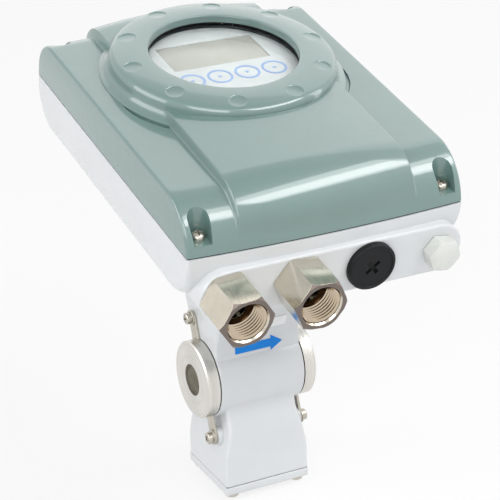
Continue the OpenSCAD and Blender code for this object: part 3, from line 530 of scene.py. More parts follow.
def board_finish(name, mask):
    """Circuit board: solder mask over a grid of tracks, with bright pads."""
    r = Recipe(bpy.data.materials.new(name))
    turned_back = r.put(r.add("ShaderNodeMapping"), Rotation=(-sizes().head_tilt, 0, 0), Vector=r.place)
    level = turned_back.outputs["Vector"]
    bricks = r.put(r.add("ShaderNodeTexBrick", offset=0.37, squash=1.0), Scale=120, Mortar_Size=0.035,
                   Color1=(*shade(mask, 0.9), 1), Color2=(*shade(mask, 1.15), 1),
                   Mortar=(*shade(mask, 2.1), 1), Vector=level)
    cells = r.put(r.add("ShaderNodeTexVoronoi", feature="F1"), Scale=260, Vector=level)
    pads = r.span(cells.outputs["Distance"], 1, 0, 0.10, 0.16)
    r.paint(r.blend(pads, bricks.outputs["Color"], (0.62, 0.60, 0.52)))
    r.rough(r.span(r.noise(300, 2), 0.3, 0.42))
    r.relief(bricks.outputs["Fac"], 0.2, 0.00005)
    return r.owner


def winding_finish(name, tone, pitch):
    """Enamelled wire laid turn by turn."""
    r = Recipe(bpy.data.materials.new(name))
    wave = r.put(r.add("ShaderNodeTexWave", wave_type="BANDS", bands_direction="Z"),
                 Scale=pitch, Distortion=0.4, Vector=r.place)
    # On the coils the bands are painted shade between the wire's turns and a painted highlight on them;
    # on the laminated core they mark the joints between sheets.
    r.paint(r.blend(wave.outputs["Fac"], shade(tone, 0.6), shade(tone, 1.1)))
    r.rough(r.span(r.noise(300, 2), 0.3, 0.4))
    r.relief(wave.outputs["Fac"], 0.5, 0.0001)
    return r.owner


FINISHES = {}

# Maker of each finish and the values it takes after the name and the panel's colour of that name
RECIPES = {
    "cover_paint": (paint_finish, 0.4, 1.0, 1.7, 0),
    "housing_paint": (paint_finish, 0.4, 0.5, 1.5, 0.0007),
    "nickel": (metal_finish, 0.15, (1, 0.08, 1), 700, 0.02),
    # Darker nickel for the end faces: painted shade.
    "nickel_end": (metal_finish, 0.42),
    # Brass of the thread valleys, darkened as painted shade.
    "thread": (metal_finish, 0.16, EVEN, 500, 0.03, 0),
    # Brass of the thread crests, lightened as a painted highlight.
    "thread_crest": (metal_finish, 0.14, EVEN, 500, 0.03, 0),
    "steel": (turned_finish, 0.27),
    "zinc": (metal_finish, 0.3, EVEN, 1200, 0.12),
    "rubber": (moulded_finish, 0.6, 1400, 0.1, 0.0003, 0.2),
    "grey_gasket": (moulded_finish, 0.6),
    "panel_film": (moulded_finish, 0.34, 900, 0.03, 0),
    "display": (moulded_finish, 0.2, 700, 0.02, 0),
    "key_blue": (moulded_finish, 0.4, 900, 0.03, 0),
    "arrow_blue": (moulded_finish, 0.35, 900, 0.05, 0, 0.25),
    "label_white": (moulded_finish, 0.4, 900, 0.04, 0),
    "black_plug": (moulded_finish, 0.45, 1500, 0.1, 0.0003, 0.2),
    "white_plug": (moulded_finish, 0.38, 1300, 0.08),
    "window_glass": (glass_finish,),
    "circuit_board": (board_finish,),
    "chip_black": (moulded_finish, 0.45),
    "core_iron": (winding_finish, 260),
    "soft_iron": (metal_finish, 0.4),
    "copper": (winding_finish, 420),
    "liner": (moulded_finish, 0.4),
    "lead_red": (moulded_finish, 0.45),
    "lead_blue": (moulded_finish, 0.45),
    "brass": (metal_finish, 0.28),
}


def finish(name):
    """The named finish, made the first time that a piece asks for it."""
    if name not in FINISHES:
        maker, *values = RECIPES[name]
        FINISHES[name] = maker(name, getattr(colours(), name), *values)
    return FINISHES[name]


# Head: the cover and the base are grids that follow a side profile

def smooth_step(value, low, high):
    t = min(1, max(0, (value - low) / (high - low)))
    return t * t * t * (t * (6 * t - 15) + 10)


def end_lean(y):
    """Share of the ends' bow at a place along the head, from -1 to 1."""
    return max(-1, min(1, y / (mm(sizes().head_length) / 2 - 20)))


def roll(y, z, radius, start, end, steps):
    """A bend of a side profile, each point followed by its normal."""
    points, normals = bend(y, z, radius, start, end, steps), bend(0, 0, 1, start, end, steps)
    return [(*point, *normal) for point, normal in zip(points, normals)]


def cover_rows(inset=0.0):
    """Side profile of the cover: y, z, normal y, normal z, place before the inset, edge radius, bow."""
    s = sizes()
    half, top = mm(s.head_length) / 2, mm(s.cover_height)
    near, far = mm(s.near_roll), mm(s.far_roll)
    start = math.asin((SEAM - top + near) / near)
    near_y, far_y = near - half, half - far
    flat_steps = 40
    points = roll(near_y, top - near, near, 180 - math.degrees(start), 90, 28)
    points += [(near_y + (far_y - near_y) * i / flat_steps, top, 0, 1) for i in range(1, flat_steps)]
    points += roll(far_y, top - far, far, 90, 0, 20)
    points += [(half, (top - far + SEAM) / 2, 1, 0), (half, SEAM, 1, 0)]
    rows = [[y - ny * inset, z - nz * inset, ny, nz, (y, z), max(HOLLOW_EDGE, COVER_EDGE - inset),
             end_lean(y)] for y, z, ny, nz in points]
    for row, ny in ((rows[0], -1), (rows[-1], 1)):
        row[1], row[2], row[3] = SEAM, ny, 0
    return rows


def band_lift(y, z, ny, nz, x):
    """How far the raised band stands off the side profile: its edge, and its crown over it."""
    s = sizes()
    half = mm(s.head_length) / 2
    top = mm(s.cover_height + s.band_rise)
    near_r, near_y, near_drop, far_r = 26.0, -70.8, 1.1, mm(s.far_roll)
    slope, slope_from = 0.022, -20
    far_y = half - far_r

    def outside(py, pz):
        if py < near_y:
            if pz <= top - near_r:
                return near_y - near_r - py
            return math.hypot(py - near_y, pz - top + near_drop + near_r) - near_r
        if py > far_y and pz > top - far_r:
            return math.hypot(py - far_y, pz - top + far_r) - far_r
        return max(pz - top + slope * max(0.0, slope_from - py), py - half)

    if outside(y, z) >= 0:
        return 0.0
    low, high, halvings = 0.0, 16.0, 24
    for _ in range(halvings):
        middle = (low + high) / 2
        if outside(y + ny * middle, z + nz * middle) < 0:
            low = middle
        else:
            high = middle
    fade_low, fade_high, far_fade = 4.0, 15.0, 3
    fade = smooth_step(z, fade_low, fade_high) if y < 0 else min(1.0, low / far_fade)
    crown = mm(s.band_crown) * (1 - min(1.0, abs(x) / mm(s.band_half)) ** 2)
    return (low + crown) * fade


def tub(rows, flats, half_w, bow, band=0.0):
    """A closed tub or lid: a grid whose rows follow a profile and whose sides roll over."""
    arc = [math.pi / 2 * (1 - i / 7) for i in range(7)]
    columns = [(-1, a) for a in arc] + [(0, f) for f in flats] + [(1, a) for a in reversed(arc)]
    bm = bmesh.new()
    bmesh.ops.create_grid(bm, x_segments=len(columns) - 1, y_segments=len(rows) - 1, size=1)
    xs = sorted({round(v.co.x, 5) for v in bm.verts})
    ys = sorted({round(v.co.y, 5) for v in bm.verts})
    across = {x: i for i, x in enumerate(xs)}
    along = {y: i for i, y in enumerate(ys)}
    ends, sides = {0: [], len(rows) - 1: []}, {0: [], len(columns) - 1: []}
    for v in bm.verts:
        i, j = across[round(v.co.x, 5)], along[round(v.co.y, 5)]
        y, z, ny, nz, outer, radius, lean = rows[j]
        side, value = columns[i]
        if side:
            x = side * (half_w - radius + radius * math.sin(value))
            drop = radius * (1 - math.cos(value))
        else:
            x, drop = value * (half_w - radius), 0
        rise = 0
        if band and abs(x) < band + BAND_FOOT:
            rise = band_lift(*outer, ny, nz, x) * (1 - smooth_step(abs(x), band - 0.3, band + BAND_FOOT))
        v.co = (x, y + ny * (rise - drop) + lean * bow * (1 - (x / half_w) ** 2), z + nz * (rise - drop))
        if i in sides:
            sides[i].append(v)
        if j in ends:
            ends[j].append(v)
    closing = []
    for verts in sides.values():
        group = set(verts)
        chain = [e for e in bm.edges if e.verts[0] in group and e.verts[1] in group]
        rim = [v for v in verts if v in ends[0] or v in ends[len(rows) - 1]]
        made = bmesh.ops.contextual_create(bm, geom=rim)
        closing += made["edges"]
        bmesh.ops.edgeloop_fill(bm, edges=chain + made["edges"])
    seam = closing[:]
    for verts in ends.values():
        group = set(verts)
        seam += [e for e in bm.edges if e.verts[0] in group and e.verts[1] in group and e.is_boundary]
    bmesh.ops.edgeloop_fill(bm, edges=list(dict.fromkeys(seam)))
    bmesh.ops.recalc_face_normals(bm, faces=bm.faces)
    return bm


def flats_with_band(band, half):
    """Column places across the flat width, close together where the band's edge is."""
    out = [i * (band - 2) / 12 for i in range(13)]
    out += [band - 2 + 0.2 * i for i in range(1, 21)]
    out += [band + 2 + (half - band - 2) * i / 8 for i in range(1, 9)]
    return [-x / half for x in reversed(out[1:])] + [x / half for x in out]


def screw_places():
    """Places of the cover screws: x, y and the side of the short end."""
    s = sizes()
    x, y = mm(s.head_width) / 2 - SCREW_SIDE, mm(s.head_length) / 2 - SCREW_END
    return [(sx * x, sy * y, sy) for sx in (-1, 1) for sy in (-1, 1)]


def dome_height(radius):
    """Height of the window ring's domed top at a radius."""
    s = sizes()
    return mm(s.ring_crest) - (radius - mm(s.window_bore) / 2 - DOME_CREST) ** 2 / (2 * DOME_RADIUS)


def dome_profile():
    """Section of the window ring: sight edge, dome, rolled rim, concave skirt and seat."""
    s = sizes()
    inner, outer, crest = mm(s.window_bore) / 2, mm(s.ring_width) / 2, mm(s.ring_crest)
    edge, rim, rim_share, rim_drop = 0.9, 4.5, 5.5, 5.9
    cove, cove_out, cove_z = 5.5, 5.6, 30.1
    foot, foot_top, foot_low, foot_in = outer + 5.2, 24.2, 20.5, outer - 7
    sight, seat, seat_reach = crest - 4.27, crest - 8.07, inner + 5.3
    flat = outer - rim_share - inner - edge
    dome = [(inner + edge + flat * i / 18, dome_height(inner + edge + flat * i / 18))
            for i in range(1, 19)]
    points = ([(inner, sight)] + bend(inner + edge, dome_height(inner + edge) - edge, edge, 180, 90, 5)
              + dome + bend(outer - rim, crest - rim_drop, rim, 78, 0, 9)[1:]
              + bend(outer + cove_out, cove_z, cove, 180, 260, 7))
    return points + [(foot, foot_top), (foot, foot_low), (foot_in, foot_low), (foot_in, seat),
                     (seat_reach, seat), (seat_reach, sight)]


def dimple_tool(reach):
    """A round dish that leans with the dome at its reach."""
    dish = turned([(0, -0.75), (3.6, -0.75), (4.4, -0.6), (4.9, -0.3), (5.3, 0.15), (5.6, 0.8),
                   (5.6, 6), (0, 6)], 64)
    lean = math.asin((reach - mm(sizes().window_bore) / 2 - DOME_CREST) / DOME_RADIUS)
    return moved(dish, at(reach, 0, dome_height(reach)) @ spun(lean, "Y"))


def scoop_tool(side):
    """A round cutter for a long finger scoop, kept outside the ring's skirt and beside the band."""
    angle, reach, radius, floor, rounding = math.radians(212), 28.6, 40.2, 22.2, 0.8
    skirt, band = 66, mm(sizes().band_half) + BAND_FOOT
    tool = moved(rod(radius, floor, 60, rounding, 160),
                 at(reach * math.cos(angle) * side, reach * math.sin(angle)))
    tool = drill(tool, skirt, 10, 70, steps=160)
    return cut(tool, block((-band, -60, 10), (band, 60, 70)))


def pocket_tool(x, y, sy):
    """A tapered cutter for a screw pocket, open to the short end."""
    low, high, top, past = 4.6, 7.6, 36, 60
    outline = bend(0, 0, low, 0, -180 * sy, 24)
    tool = slab(outline + [(-low, sy * past), (low, sy * past)], POCKET_FLOOR, top)
    for v in tool.verts:
        if v.co.z > (POCKET_FLOOR + top) / 2:
            v.co.x *= high / low
            if v.co.y * sy < 1:
                v.co.y *= high / low
    return moved(tool, at(x, y))


class FLOWMETER_OT_cover(Operator):
    """Builds the cover with its band, scoops, screw pockets and hollow, and the window ring"""
    bl_idname = "flow_meter.cover"
    bl_label = "Cover"

    def execute(self, context):
        s = sizes()
        half_w = mm(s.head_width) / 2
        band, bow = mm(s.band_half), mm(s.end_bow)
        inner_band, hollow_w = band - 9, half_w - HEAD_WALL
        pillar, screw_hole, opening, past = 8, 2.3, 56, 60
        shell = tub(cover_rows(), flats_with_band(band, half_w - COVER_EDGE), half_w, bow, band)
        hollow = tub(cover_rows(HEAD_WALL), flats_with_band(inner_band, hollow_w - HOLLOW_EDGE),
                     hollow_w, bow, inner_band)
        for v in hollow.verts:
            if v.co.z < SEAM + 0.01:
                v.co.z = -1
        window = at(0, mm(s.window_back))
        for x, y, sy in screw_places():
            hollow = drill(hollow, pillar, -3, past, at(x, y), 48)
        shell = cut(shell, hollow)
        for side in (-1, 1):
            shell = cut(shell, moved(scoop_tool(side), window))
        for x, y, sy in screw_places():
            shell = cut(shell, pocket_tool(x, y, sy))
            shell = drill(shell, screw_hole, -2, POCKET_FLOOR + 2, at(x, y), 24)
        soften(shell, 0.45, 40, lambda e: all(abs(abs(v.co.x) - half_w + SCREW_SIDE) <= 8
                                              and v.co.z > POCKET_FLOOR - 0.1 for v in e.verts))
        shell = drill(shell, opening, -3, past, window, 96)
        settle("cover_shell", shell, head_place(), "lid", "cover_paint", ["cover"])
        ring = turned(dome_profile(), 240, closed=True)
        for i in range(s.dimples):
            dish = moved(dimple_tool(mm(s.ring_width) / 2 - 8), spun(math.tau * i / s.dimples))
            ring = cut(ring, dish)
        settle("window_ring", moved(ring, window), head_place(), "lid", "cover_paint",
               ["cover"])
        return {"FINISHED"}


def base_rows(inset=0.0):
    """Side profile of the base pan, from the near seam down, along the floor and up to the far seam."""
    s = sizes()
    half, depth = mm(s.head_length) / 2, mm(s.base_depth)
    near, far = 26.0, 25.0
    floor = 2 * half - near - far
    points = [(-half, 0, -1, 0), (-half, (near - depth) / 2, -1, 0)]
    points += roll(near - half, near - depth, near, 180, 270, 16)
    points += [(near - half + floor * i / 20, -depth, 0, -1) for i in range(1, 20)]
    points += roll(half - far, far - depth, far, -90, 0, 18) + [(half, 0, 1, 0)]
    rim_edge, floor_edge, least_edge = 1.8, 9, 0.8
    rows = []
    for y, z, ny, nz in points:
        edge = rim_edge + floor_edge * math.degrees(math.asin(min(1, -nz))) / 90
        rows.append([y - ny * inset, z - nz * inset, ny, nz, 0, max(least_edge, edge - inset),
                     end_lean(y)])
    return rows


class FLOWMETER_OT_base(Operator):
    """Builds the base pan with the long boss for the entries"""
    bl_idname = "flow_meter.base"
    bl_label = "Base"

    def execute(self, context):
        s = sizes()
        half_w, bow, depth = mm(s.head_width) / 2, mm(s.end_bow), mm(s.base_depth)
        flats = [i / 12 - 1 for i in range(25)]
        pad_inset, pad_near, pad_far, pad_out, pad_top = 12, -47, 53, 1.5, -20
        pillar, screw_hole, screw_depth = 6, 2, 8
        pan = tub(base_rows(), flats, half_w, bow)
        boss = along_y(0, -mm(s.head_length) / 2 - BOSS_OUT, -mm(s.port_depth))
        outline = (bend(port_x(0), 0, BOSS_RADIUS, 90, 270, 32)
                   + bend(port_x(PORTS - 1), 0, BOSS_RADIUS, -90, 90, 32))
        pan = cut(pan, moved(slab(outline, -BOSS_DEPTH, 0, 1.4, 4), boss), "UNION")
        pan = cut(pan, block((pad_inset - half_w, pad_near, -depth - pad_out),
                             (half_w - pad_inset, pad_far, pad_top), 0.8), "UNION")
        hollow = tub(base_rows(HEAD_WALL), flats, half_w - HEAD_WALL, bow)
        for v in hollow.verts:
            if v.co.z > -0.01:
                v.co.z = 1
        for x, y, _ in screw_places():
            hollow = drill(hollow, pillar, -20, 3, at(x, y), 48)
        pan = cut(pan, cut(hollow, moved(slab(outline, -BOSS_DEPTH, 0), boss)))
        for i in range(PORTS):
            bore, seat = SMALL_PORT if i == PORTS - 1 else PORT
            pan = drill(pan, bore, -BOSS_DEPTH - 1, 1, port_place(i))
            pan = drill(pan, seat, -1, 1, port_place(i))
        for x, y, _ in screw_places():
            pan = drill(pan, screw_hole, -screw_depth, 1, at(x, y), 24)
        settle("base_pan", pan, head_place(), "meter", "housing_paint",
               ["base_housing"])
        return {"FINISHED"}


# Fasteners and fittings

def pan_screw(radius, height, shank, reach, crown=0.55):
    """A pan head screw with its seat at zero, its crowned head above and a cross recess."""
    head = [(0, height)]
    for i in range(1, 9):
        a = math.pi / 2 * i / 8
        head.append((radius * math.sin(a), height * (1 - crown + crown * math.cos(a))))
    head += [(radius, 0.12 * height), (radius * 0.97, 0), (shank, 0), (shank, -reach), (0, -reach)]
    arm, width = radius * 0.62, radius * 0.13
    return cut(turned(head, 48), cross(arm, width, height * 0.5, height + 2))


def cross(arm, width, low, high):
    """A cutter for a cross recess."""
    return cut(block((-arm, -width, low), (arm, width, high)),
               block((-width, -arm, low), (width, arm, high)), "UNION")


def hexagon(flats, turn=0.0):
    """Corners of a hexagon with a width across its flats, turned by degrees."""
    return bend(0, 0, flats / 2 / math.cos(math.pi / 6), turn, turn + 300, 5)


def conduit_adapter(turn):
    """A plated hexagon with a chamfered mouth and a shank that goes into the entry."""
    end, bore, mouth, way = ADAPTER_LENGTH, THREAD_ROOT - 0.12, 11.3, 7
    hexa = slab(hexagon(mm(sizes().adapter_flats), turn), 0, end)
    bar = turned([(0, -0.1), (14.2, -0.1), (15.2, 0.9), (15.2, end - 1.6), (13.4, end), (0, end)], 128)
    hexa = cut(hexa, bar, "INTERSECT")
    hexa = cut(hexa, rod(9.9, -12, 1, 0.6, 96), "UNION")
    return cut(hexa, turned([(0, -13), (way, -13), (way, THREAD_START), (bore, THREAD_START),
                             (bore, end - 1.1), (mouth, end + 0.1), (0, end + 0.1)], 96))


def conduit_thread():
    """Ridge of the conduit thread: a triangle swept on a helix, closed at both ends."""
    pitch = mm(sizes().thread_pitch)
    turns, steps, crest, foot = 7.3, 72, 9.4, 0.46 * pitch
    bm = bmesh.new()
    verts = [bm.verts.new(co) for co in ((THREAD_ROOT, 0, -foot), (crest, 0, 0), (THREAD_ROOT, 0, foot))]
    edges = [bm.edges.new((verts[i], verts[(i + 1) % 3])) for i in range(3)]
    count = int(turns * steps)
    bmesh.ops.spin(bm, geom=verts + edges, cent=(0, 0, 0), axis=(0, 0, 1), angle=math.tau * turns,
                   dvec=(0, 0, pitch * turns / count), steps=count, use_merge=False)
    bmesh.ops.remove_doubles(bm, verts=bm.verts, dist=1e-4)
    bmesh.ops.holes_fill(bm, edges=[e for e in bm.edges if e.is_boundary], sides=0)
    bmesh.ops.recalc_face_normals(bm, faces=bm.faces)
    return moved(bm, at(0, 0, THREAD_START + 0.2))


class FLOWMETER_OT_adapters(Operator):
    """Builds the two conduit adapters and their threads"""
    bl_idname = "flow_meter.adapters"
    bl_label = "Conduit adapters"

    def execute(self, context):
        for index, side, turn in ((0, "left", 4), (1, "right", -5)):
            body = f"adapter_{index + 1}"
            place = head_place() @ port_place(index, PORT_GAP)
            piece = settle(f"{side}_conduit_adapter", conduit_adapter(turn), place, body,
                           ("nickel", "nickel_end", "thread"), [f"{side}_adapter"])
            inverse = (Matrix.Scale(0.001, 4) @ place).inverted()
            for polygon in piece.data.polygons:
                spot = inverse @ polygon.center
                reach = math.hypot(spot.x, spot.y)
                # End faces and their chamfer take the darker nickel, a painted shade.
                if spot.z > ADAPTER_LENGTH - 1 and reach > 11.2:
                    polygon.material_index = 1
                # The bore between the ridges takes the valley brass, a painted shade.
                elif reach < THREAD_ROOT and -1 < spot.z < ADAPTER_LENGTH - 1.3:
                    polygon.material_index = 2
            # The thread ridges take the brass lightened as a painted highlight.
            settle(f"{side}_conduit_thread", conduit_thread(), place, body, "thread_crest")
        return {"FINISHED"}


class FLOWMETER_OT_plugs(Operator):
    """Builds the round and the hexagonal blind plug"""
    bl_idname = "flow_meter.plugs"
    bl_label = "Blind plugs"

    def execute(self, context):
        cap = turned([(0, 3.1), (11.2, 3.1), (11.5, 3.6), (12.4, 3.6), (12.9, 3.3), (13.4, 2.6),
                      (13.5, 1.8), (13.5, 0), (9.9, 0), (9.9, -12), (7.6, -12), (7.6, 1), (0, 1)], 96)
        cap = cut(cap, moved(cross(4.6, 1.0, 1.7, 6), spun(math.radians(38))))
        settle("round_blind_plug", cap, head_place() @ port_place(2, PORT_GAP), "plug_1", "black_plug",
               ["round_plug"])
        flats, top = mm(sizes().plug_flats), 8
        rim = flats / 2 + 1.2
        head = slab(hexagon(flats, -10), 0, top, 0.35, 3)
        bar = turned([(0, -0.1), (rim, -0.1), (rim, top - 0.8), (rim - 1.5, top), (0, top)], 96)
        head = cut(head, bar, "INTERSECT")
        head = drill(cut(head, rod(5.9, -12, 0.5, 0.4, 96), "UNION"), 3.6, -13, 1)
        settle("hex_blind_plug", head, head_place() @ port_place(3, PORT_GAP), "plug_2", "white_plug",
               ["hex_plug"])
        return {"FINISHED"}


def strap_places():
    """Frames of the four straps: +Z out of the casting's end, +X away from the flow axis."""
    places = []
    for end in (-1, 1):
        for half_turn in (0, 180):
            across = Matrix(((0, 0, end, CASTING_HALF * end), (0, end, 0, 0),
                             (1, 0, 0, 0), (0, 0, 0, 1)))
            places.append(spun(math.radians(half_turn - STRAP_ANGLE), "X") @ across)
    return places


class FLOWMETER_OT_fasteners(Operator):
    """Builds the cover screws, strap screws and bottom screws, and the ring straps"""
    bl_idname = "flow_meter.fasteners"
    bl_label = "Fasteners"

    def execute(self, context):
        pockets = [moved(pan_screw(3.6, 3.8, 1.9, 13), at(x, y, POCKET_FLOOR) @ spun(x + y))
                   for x, y, _ in screw_places()]
        eye, thick, washer_t = at(STRAP_SCREW), 1.5, 0.8
        screws, straps, washers = [], [], []
        for k, place in enumerate(strap_places()):
            screws.append(moved(pan_screw(3.3, 3.3, 1.9, 6, 0.28),
                                place @ at(STRAP_SCREW, 0, thick + washer_t) @ spun(0.7 * k)))
            outline = [(20.0, -4), (20.0, 4)] + bend(STRAP_SCREW, 0, 4, 90, -90, 16)
            strip = drill(slab(outline, 0, thick, 0.25, 2), 22.1, -2, 4, steps=160)
            straps.append(moved(drill(strip, SCREW_HOLE, -2, 4, eye, 32), place))
            washer = turned([(SCREW_HOLE, 0), (4.3, 0), (4.4, 0.2), (4.4, 0.6), (4.2, washer_t),
                             (SCREW_HOLE, washer_t)], 48, closed=True)
            washers.append(moved(washer, place @ at(STRAP_SCREW, 0, thick)))
        bottoms = [moved(pan_screw(4.0, 3.4, 1.9, 11),
                         at(x, y, PLATE_LOW) @ spun(math.pi, "X") @ spun(0.5 * sx + sy))
                   for sx, sy, x, y in bottom_places()]
        for name, parts, place, body, node in (
                ("pocket_screws", pockets, head_place(), "lid", "cover_screws"),
                ("strap_pan_screws", screws, Matrix(), "meter", "strap_screws"),
                ("earth_straps", straps, Matrix(), "meter", "ring_straps"),
                ("flat_washers", washers, Matrix(), "meter", "strap_washers"),
                ("bottom_pan_screws", bottoms, Matrix(), "meter", "bottom_screws")):
            settle(name, joined(*parts), place, body, "zinc", [node])
        return {"FINISHED"}


# Detector

def bottom_places():
    """Places of the bottom screws: both sides, x and y."""
    return [(sx, sy, sx * BOTTOM_SCREW[0], sy * BOTTOM_SCREW[1]) for sx in (-1, 1) for sy in (-1, 1)]


def corners(x, y, z):
    return [Vector((sx * x, sy * y, z)) for sx, sy in QUARTERS]


class FLOWMETER_OT_detector(Operator):
    """Builds the detector casting and its bottom plate"""
    bl_idname = "flow_meter.detector"
    bl_label = "Detector"

    def execute(self, context):
        half, belly, lug, tube, passage = CASTING_HALF, 22.6, 5.5, 12.1, 13
        flange_w, flange_d, tilt = 32, 33, sizes().head_tilt
        middle = (mm(sizes().head_back) - flange_d * math.sin(tilt)) / math.cos(tilt)
        shift = head_place() @ at(0, middle)
        rows = [corners(half, y, z) for y, z in ((16.3, 0), (16.3, 26), (25, 46))]
        rows += [[shift @ corner for corner in corners(flange_w, flange_d, z)] for z in (-42.5, -33.6)]
        body = cut(stack(rows, 1.3),
                   moved(rod(belly, -half - 0.02, half + 0.02, 1.0, 160), along_x()), "UNION")
        rows = [corners(x, y, z) for x, y, z in (
            (half, 24.7, -58.4), (half, 24.6, -46), (25.1, 24.4, -40), (24.0, 24.2, -34.5),
            (22.9, 23.8, -30), (22.1, 23.0, -26.6), (21.6, 21.8, -23.8), (21.4, 20.4, -21.2),
            (21.4, 19.2, -18.8), (21.4, 18.5, -16.6), (21.4, 18.3, -14.8), (21.4, 18.7, -13),
            (21.4, 19.6, -11.2), (21.4, 15, -6))]
        body = cut(body, stack(rows, 2.4, 40, 5), "UNION")
        for place in strap_places():
            body = cut(body, moved(rod(lug, -12, 0.01, 0.4, 48), place @ at(STRAP_SCREW)), "UNION")
        body = drill(drill(body, tube, -40, 40, along_x(), 96), passage, 40, 140)
        settle("detector_casting", body, Matrix(), "meter", "housing_paint",
               ["detector_body"])
        plate = block((-half, -24.7, PLATE_LOW), (half, 24.7, PLATE_LOW + 5), 0.8, 3)
        for _, _, x, y in bottom_places():
            plate = drill(plate, SCREW_HOLE, PLATE_LOW - 2, -50, at(x, y), 32)
        settle("bottom_plate", plate, Matrix(), "meter", "housing_paint",
               ["bottom_cover"])
        return {"FINISHED"}


# Display

class FLOWMETER_OT_display(Operator):
    """Builds the film panel, the liquid crystal and the printed keys behind the window"""
    bl_idname = "flow_meter.display"
    bl_label = "Display"

    def execute(self, context):
        s = sizes()
        top, ink = mm(s.ring_crest) - 8.675, 0.2
        film_r, film_t, glass_w, glass_l, slot = 41.3, 1.6, 28, 26, 0.3
        place = head_place() @ at(0, mm(s.window_back))
        film = cut(rod(film_r, top - film_t, top, 0.2, 128),
                   block((-glass_w - slot, -slot, top - 3), (glass_w + slot, glass_l + slot, top + 1)))
        settle("film_panel", film, place, "meter", "panel_film", ["display_panel"])
        glass = block((-glass_w, 0, top - 6), (glass_w, glass_l, top - slot), slot, 2)
        settle("crystal_display", glass, place, "meter", "display", ["lcd_module"])
        marks = []
        for i, turn in enumerate((180, 0, -90, 90)):
            key = at((i - 1.5) * KEY_PITCH + 0.4, -12.4)
            ring = turned([(5.7, top), (7.0, top), (7.0, top + ink), (5.7, top + ink)], 64, closed=True)
            arrow = slab([(1.3, 0), (-0.8, 1.2), (-0.8, -1.2)], top, top + ink)
            marks += [moved(ring, key), moved(arrow, key @ spun(math.radians(turn)))]
        settle("key_marks", joined(*marks), place, "meter", "key_blue", ["key_rings"])
        return {"FINISHED"}


NODE_LOOKS = {
    "circuit_board": ("display_board", "main_board", "power_board"),
    "zinc": ("retainer_screws", "panel_spacers", "display_standoffs", "board_standoffs",
             "board_screws", "power_spacers", "terminal_screws", "neck_screws"),
    "steel": ("measuring_tube", "electrodes", "electrode_nuts", "inlet_ring", "outlet_ring"),
    "rubber": ("window_gasket", "seam_gasket", "port_seals", "neck_gasket", "ring_gaskets",
               "wire_bushing"),
    "grey_gasket": ("bottom_gasket",),
    "chip_black": ("terminal_block", "glass_retainer"),
    "core_iron": ("transformer",),
    "soft_iron": ("pole_pieces", "upper_yoke", "lower_yoke"),
    "copper": ("coils",),
    "brass": ("earth_screw",),
    "liner": ("liner", "electrode_insulators", "lead_connector"),
    "lead_red": ("coil_lead",),
    "lead_blue": ("electrode_lead",),
    "arrow_blue": ("flow_arrow",),
    "label_white": ("blank_label",),
    "window_glass": ("window_glass",),
}


class FLOWMETER_OT_boards(Operator):
    """Puts chips and capacitors on the main board and finishes the nodes that keep their CAD shape"""
    bl_idname = "flow_meter.boards"
    bl_label = "Boards"

    def execute(self, context):
        floor = BOARD_TOP
        chips = [block((x - w / 2, y - l / 2, floor), (x + w / 2, y + l / 2, floor + h), 0.25, 2)
                 for x, y, w, l, h in (
                     (44, 22, 10, 12, 1.6), (20, 42, 16, 8, 2), (-14, 46, 10, 10, 1.6),
                     (44, 52, 8, 14, 2.2), (-44, 30, 6, 10, 1.8), (0, 60, 22, 7, 4.5),
                     (-14, 32, 7, 7, 1.2), (8, 28, 9, 6, 1.4))]
        settle("board_chips", joined(*chips), head_place(), "meter", "chip_black")
        cans = []
        for x, y, r, h in ((46, 38, 4, 9), (-46, 48, 3.2, 7), (-46, 12, 4, 8), (34, 64, 3, 6),
                           (-22, 62, 3, 6)):
            can = turned([(0, h), (r * 0.8, h), (r * 0.95, h - 0.3), (r, h - 0.8), (r, 1.2),
                          (r * 0.92, 0.9), (r * 0.92, 0.6), (r, 0.3), (r, 0), (0, 0)], 40)
            cans.append(moved(can, at(x, y, floor)))
        settle("board_capacitors", joined(*cans), head_place(), "meter", "soft_iron")
        for look, nodes in NODE_LOOKS.items():
            dress(look, *nodes)
        return {"FINISHED"}


# Studio

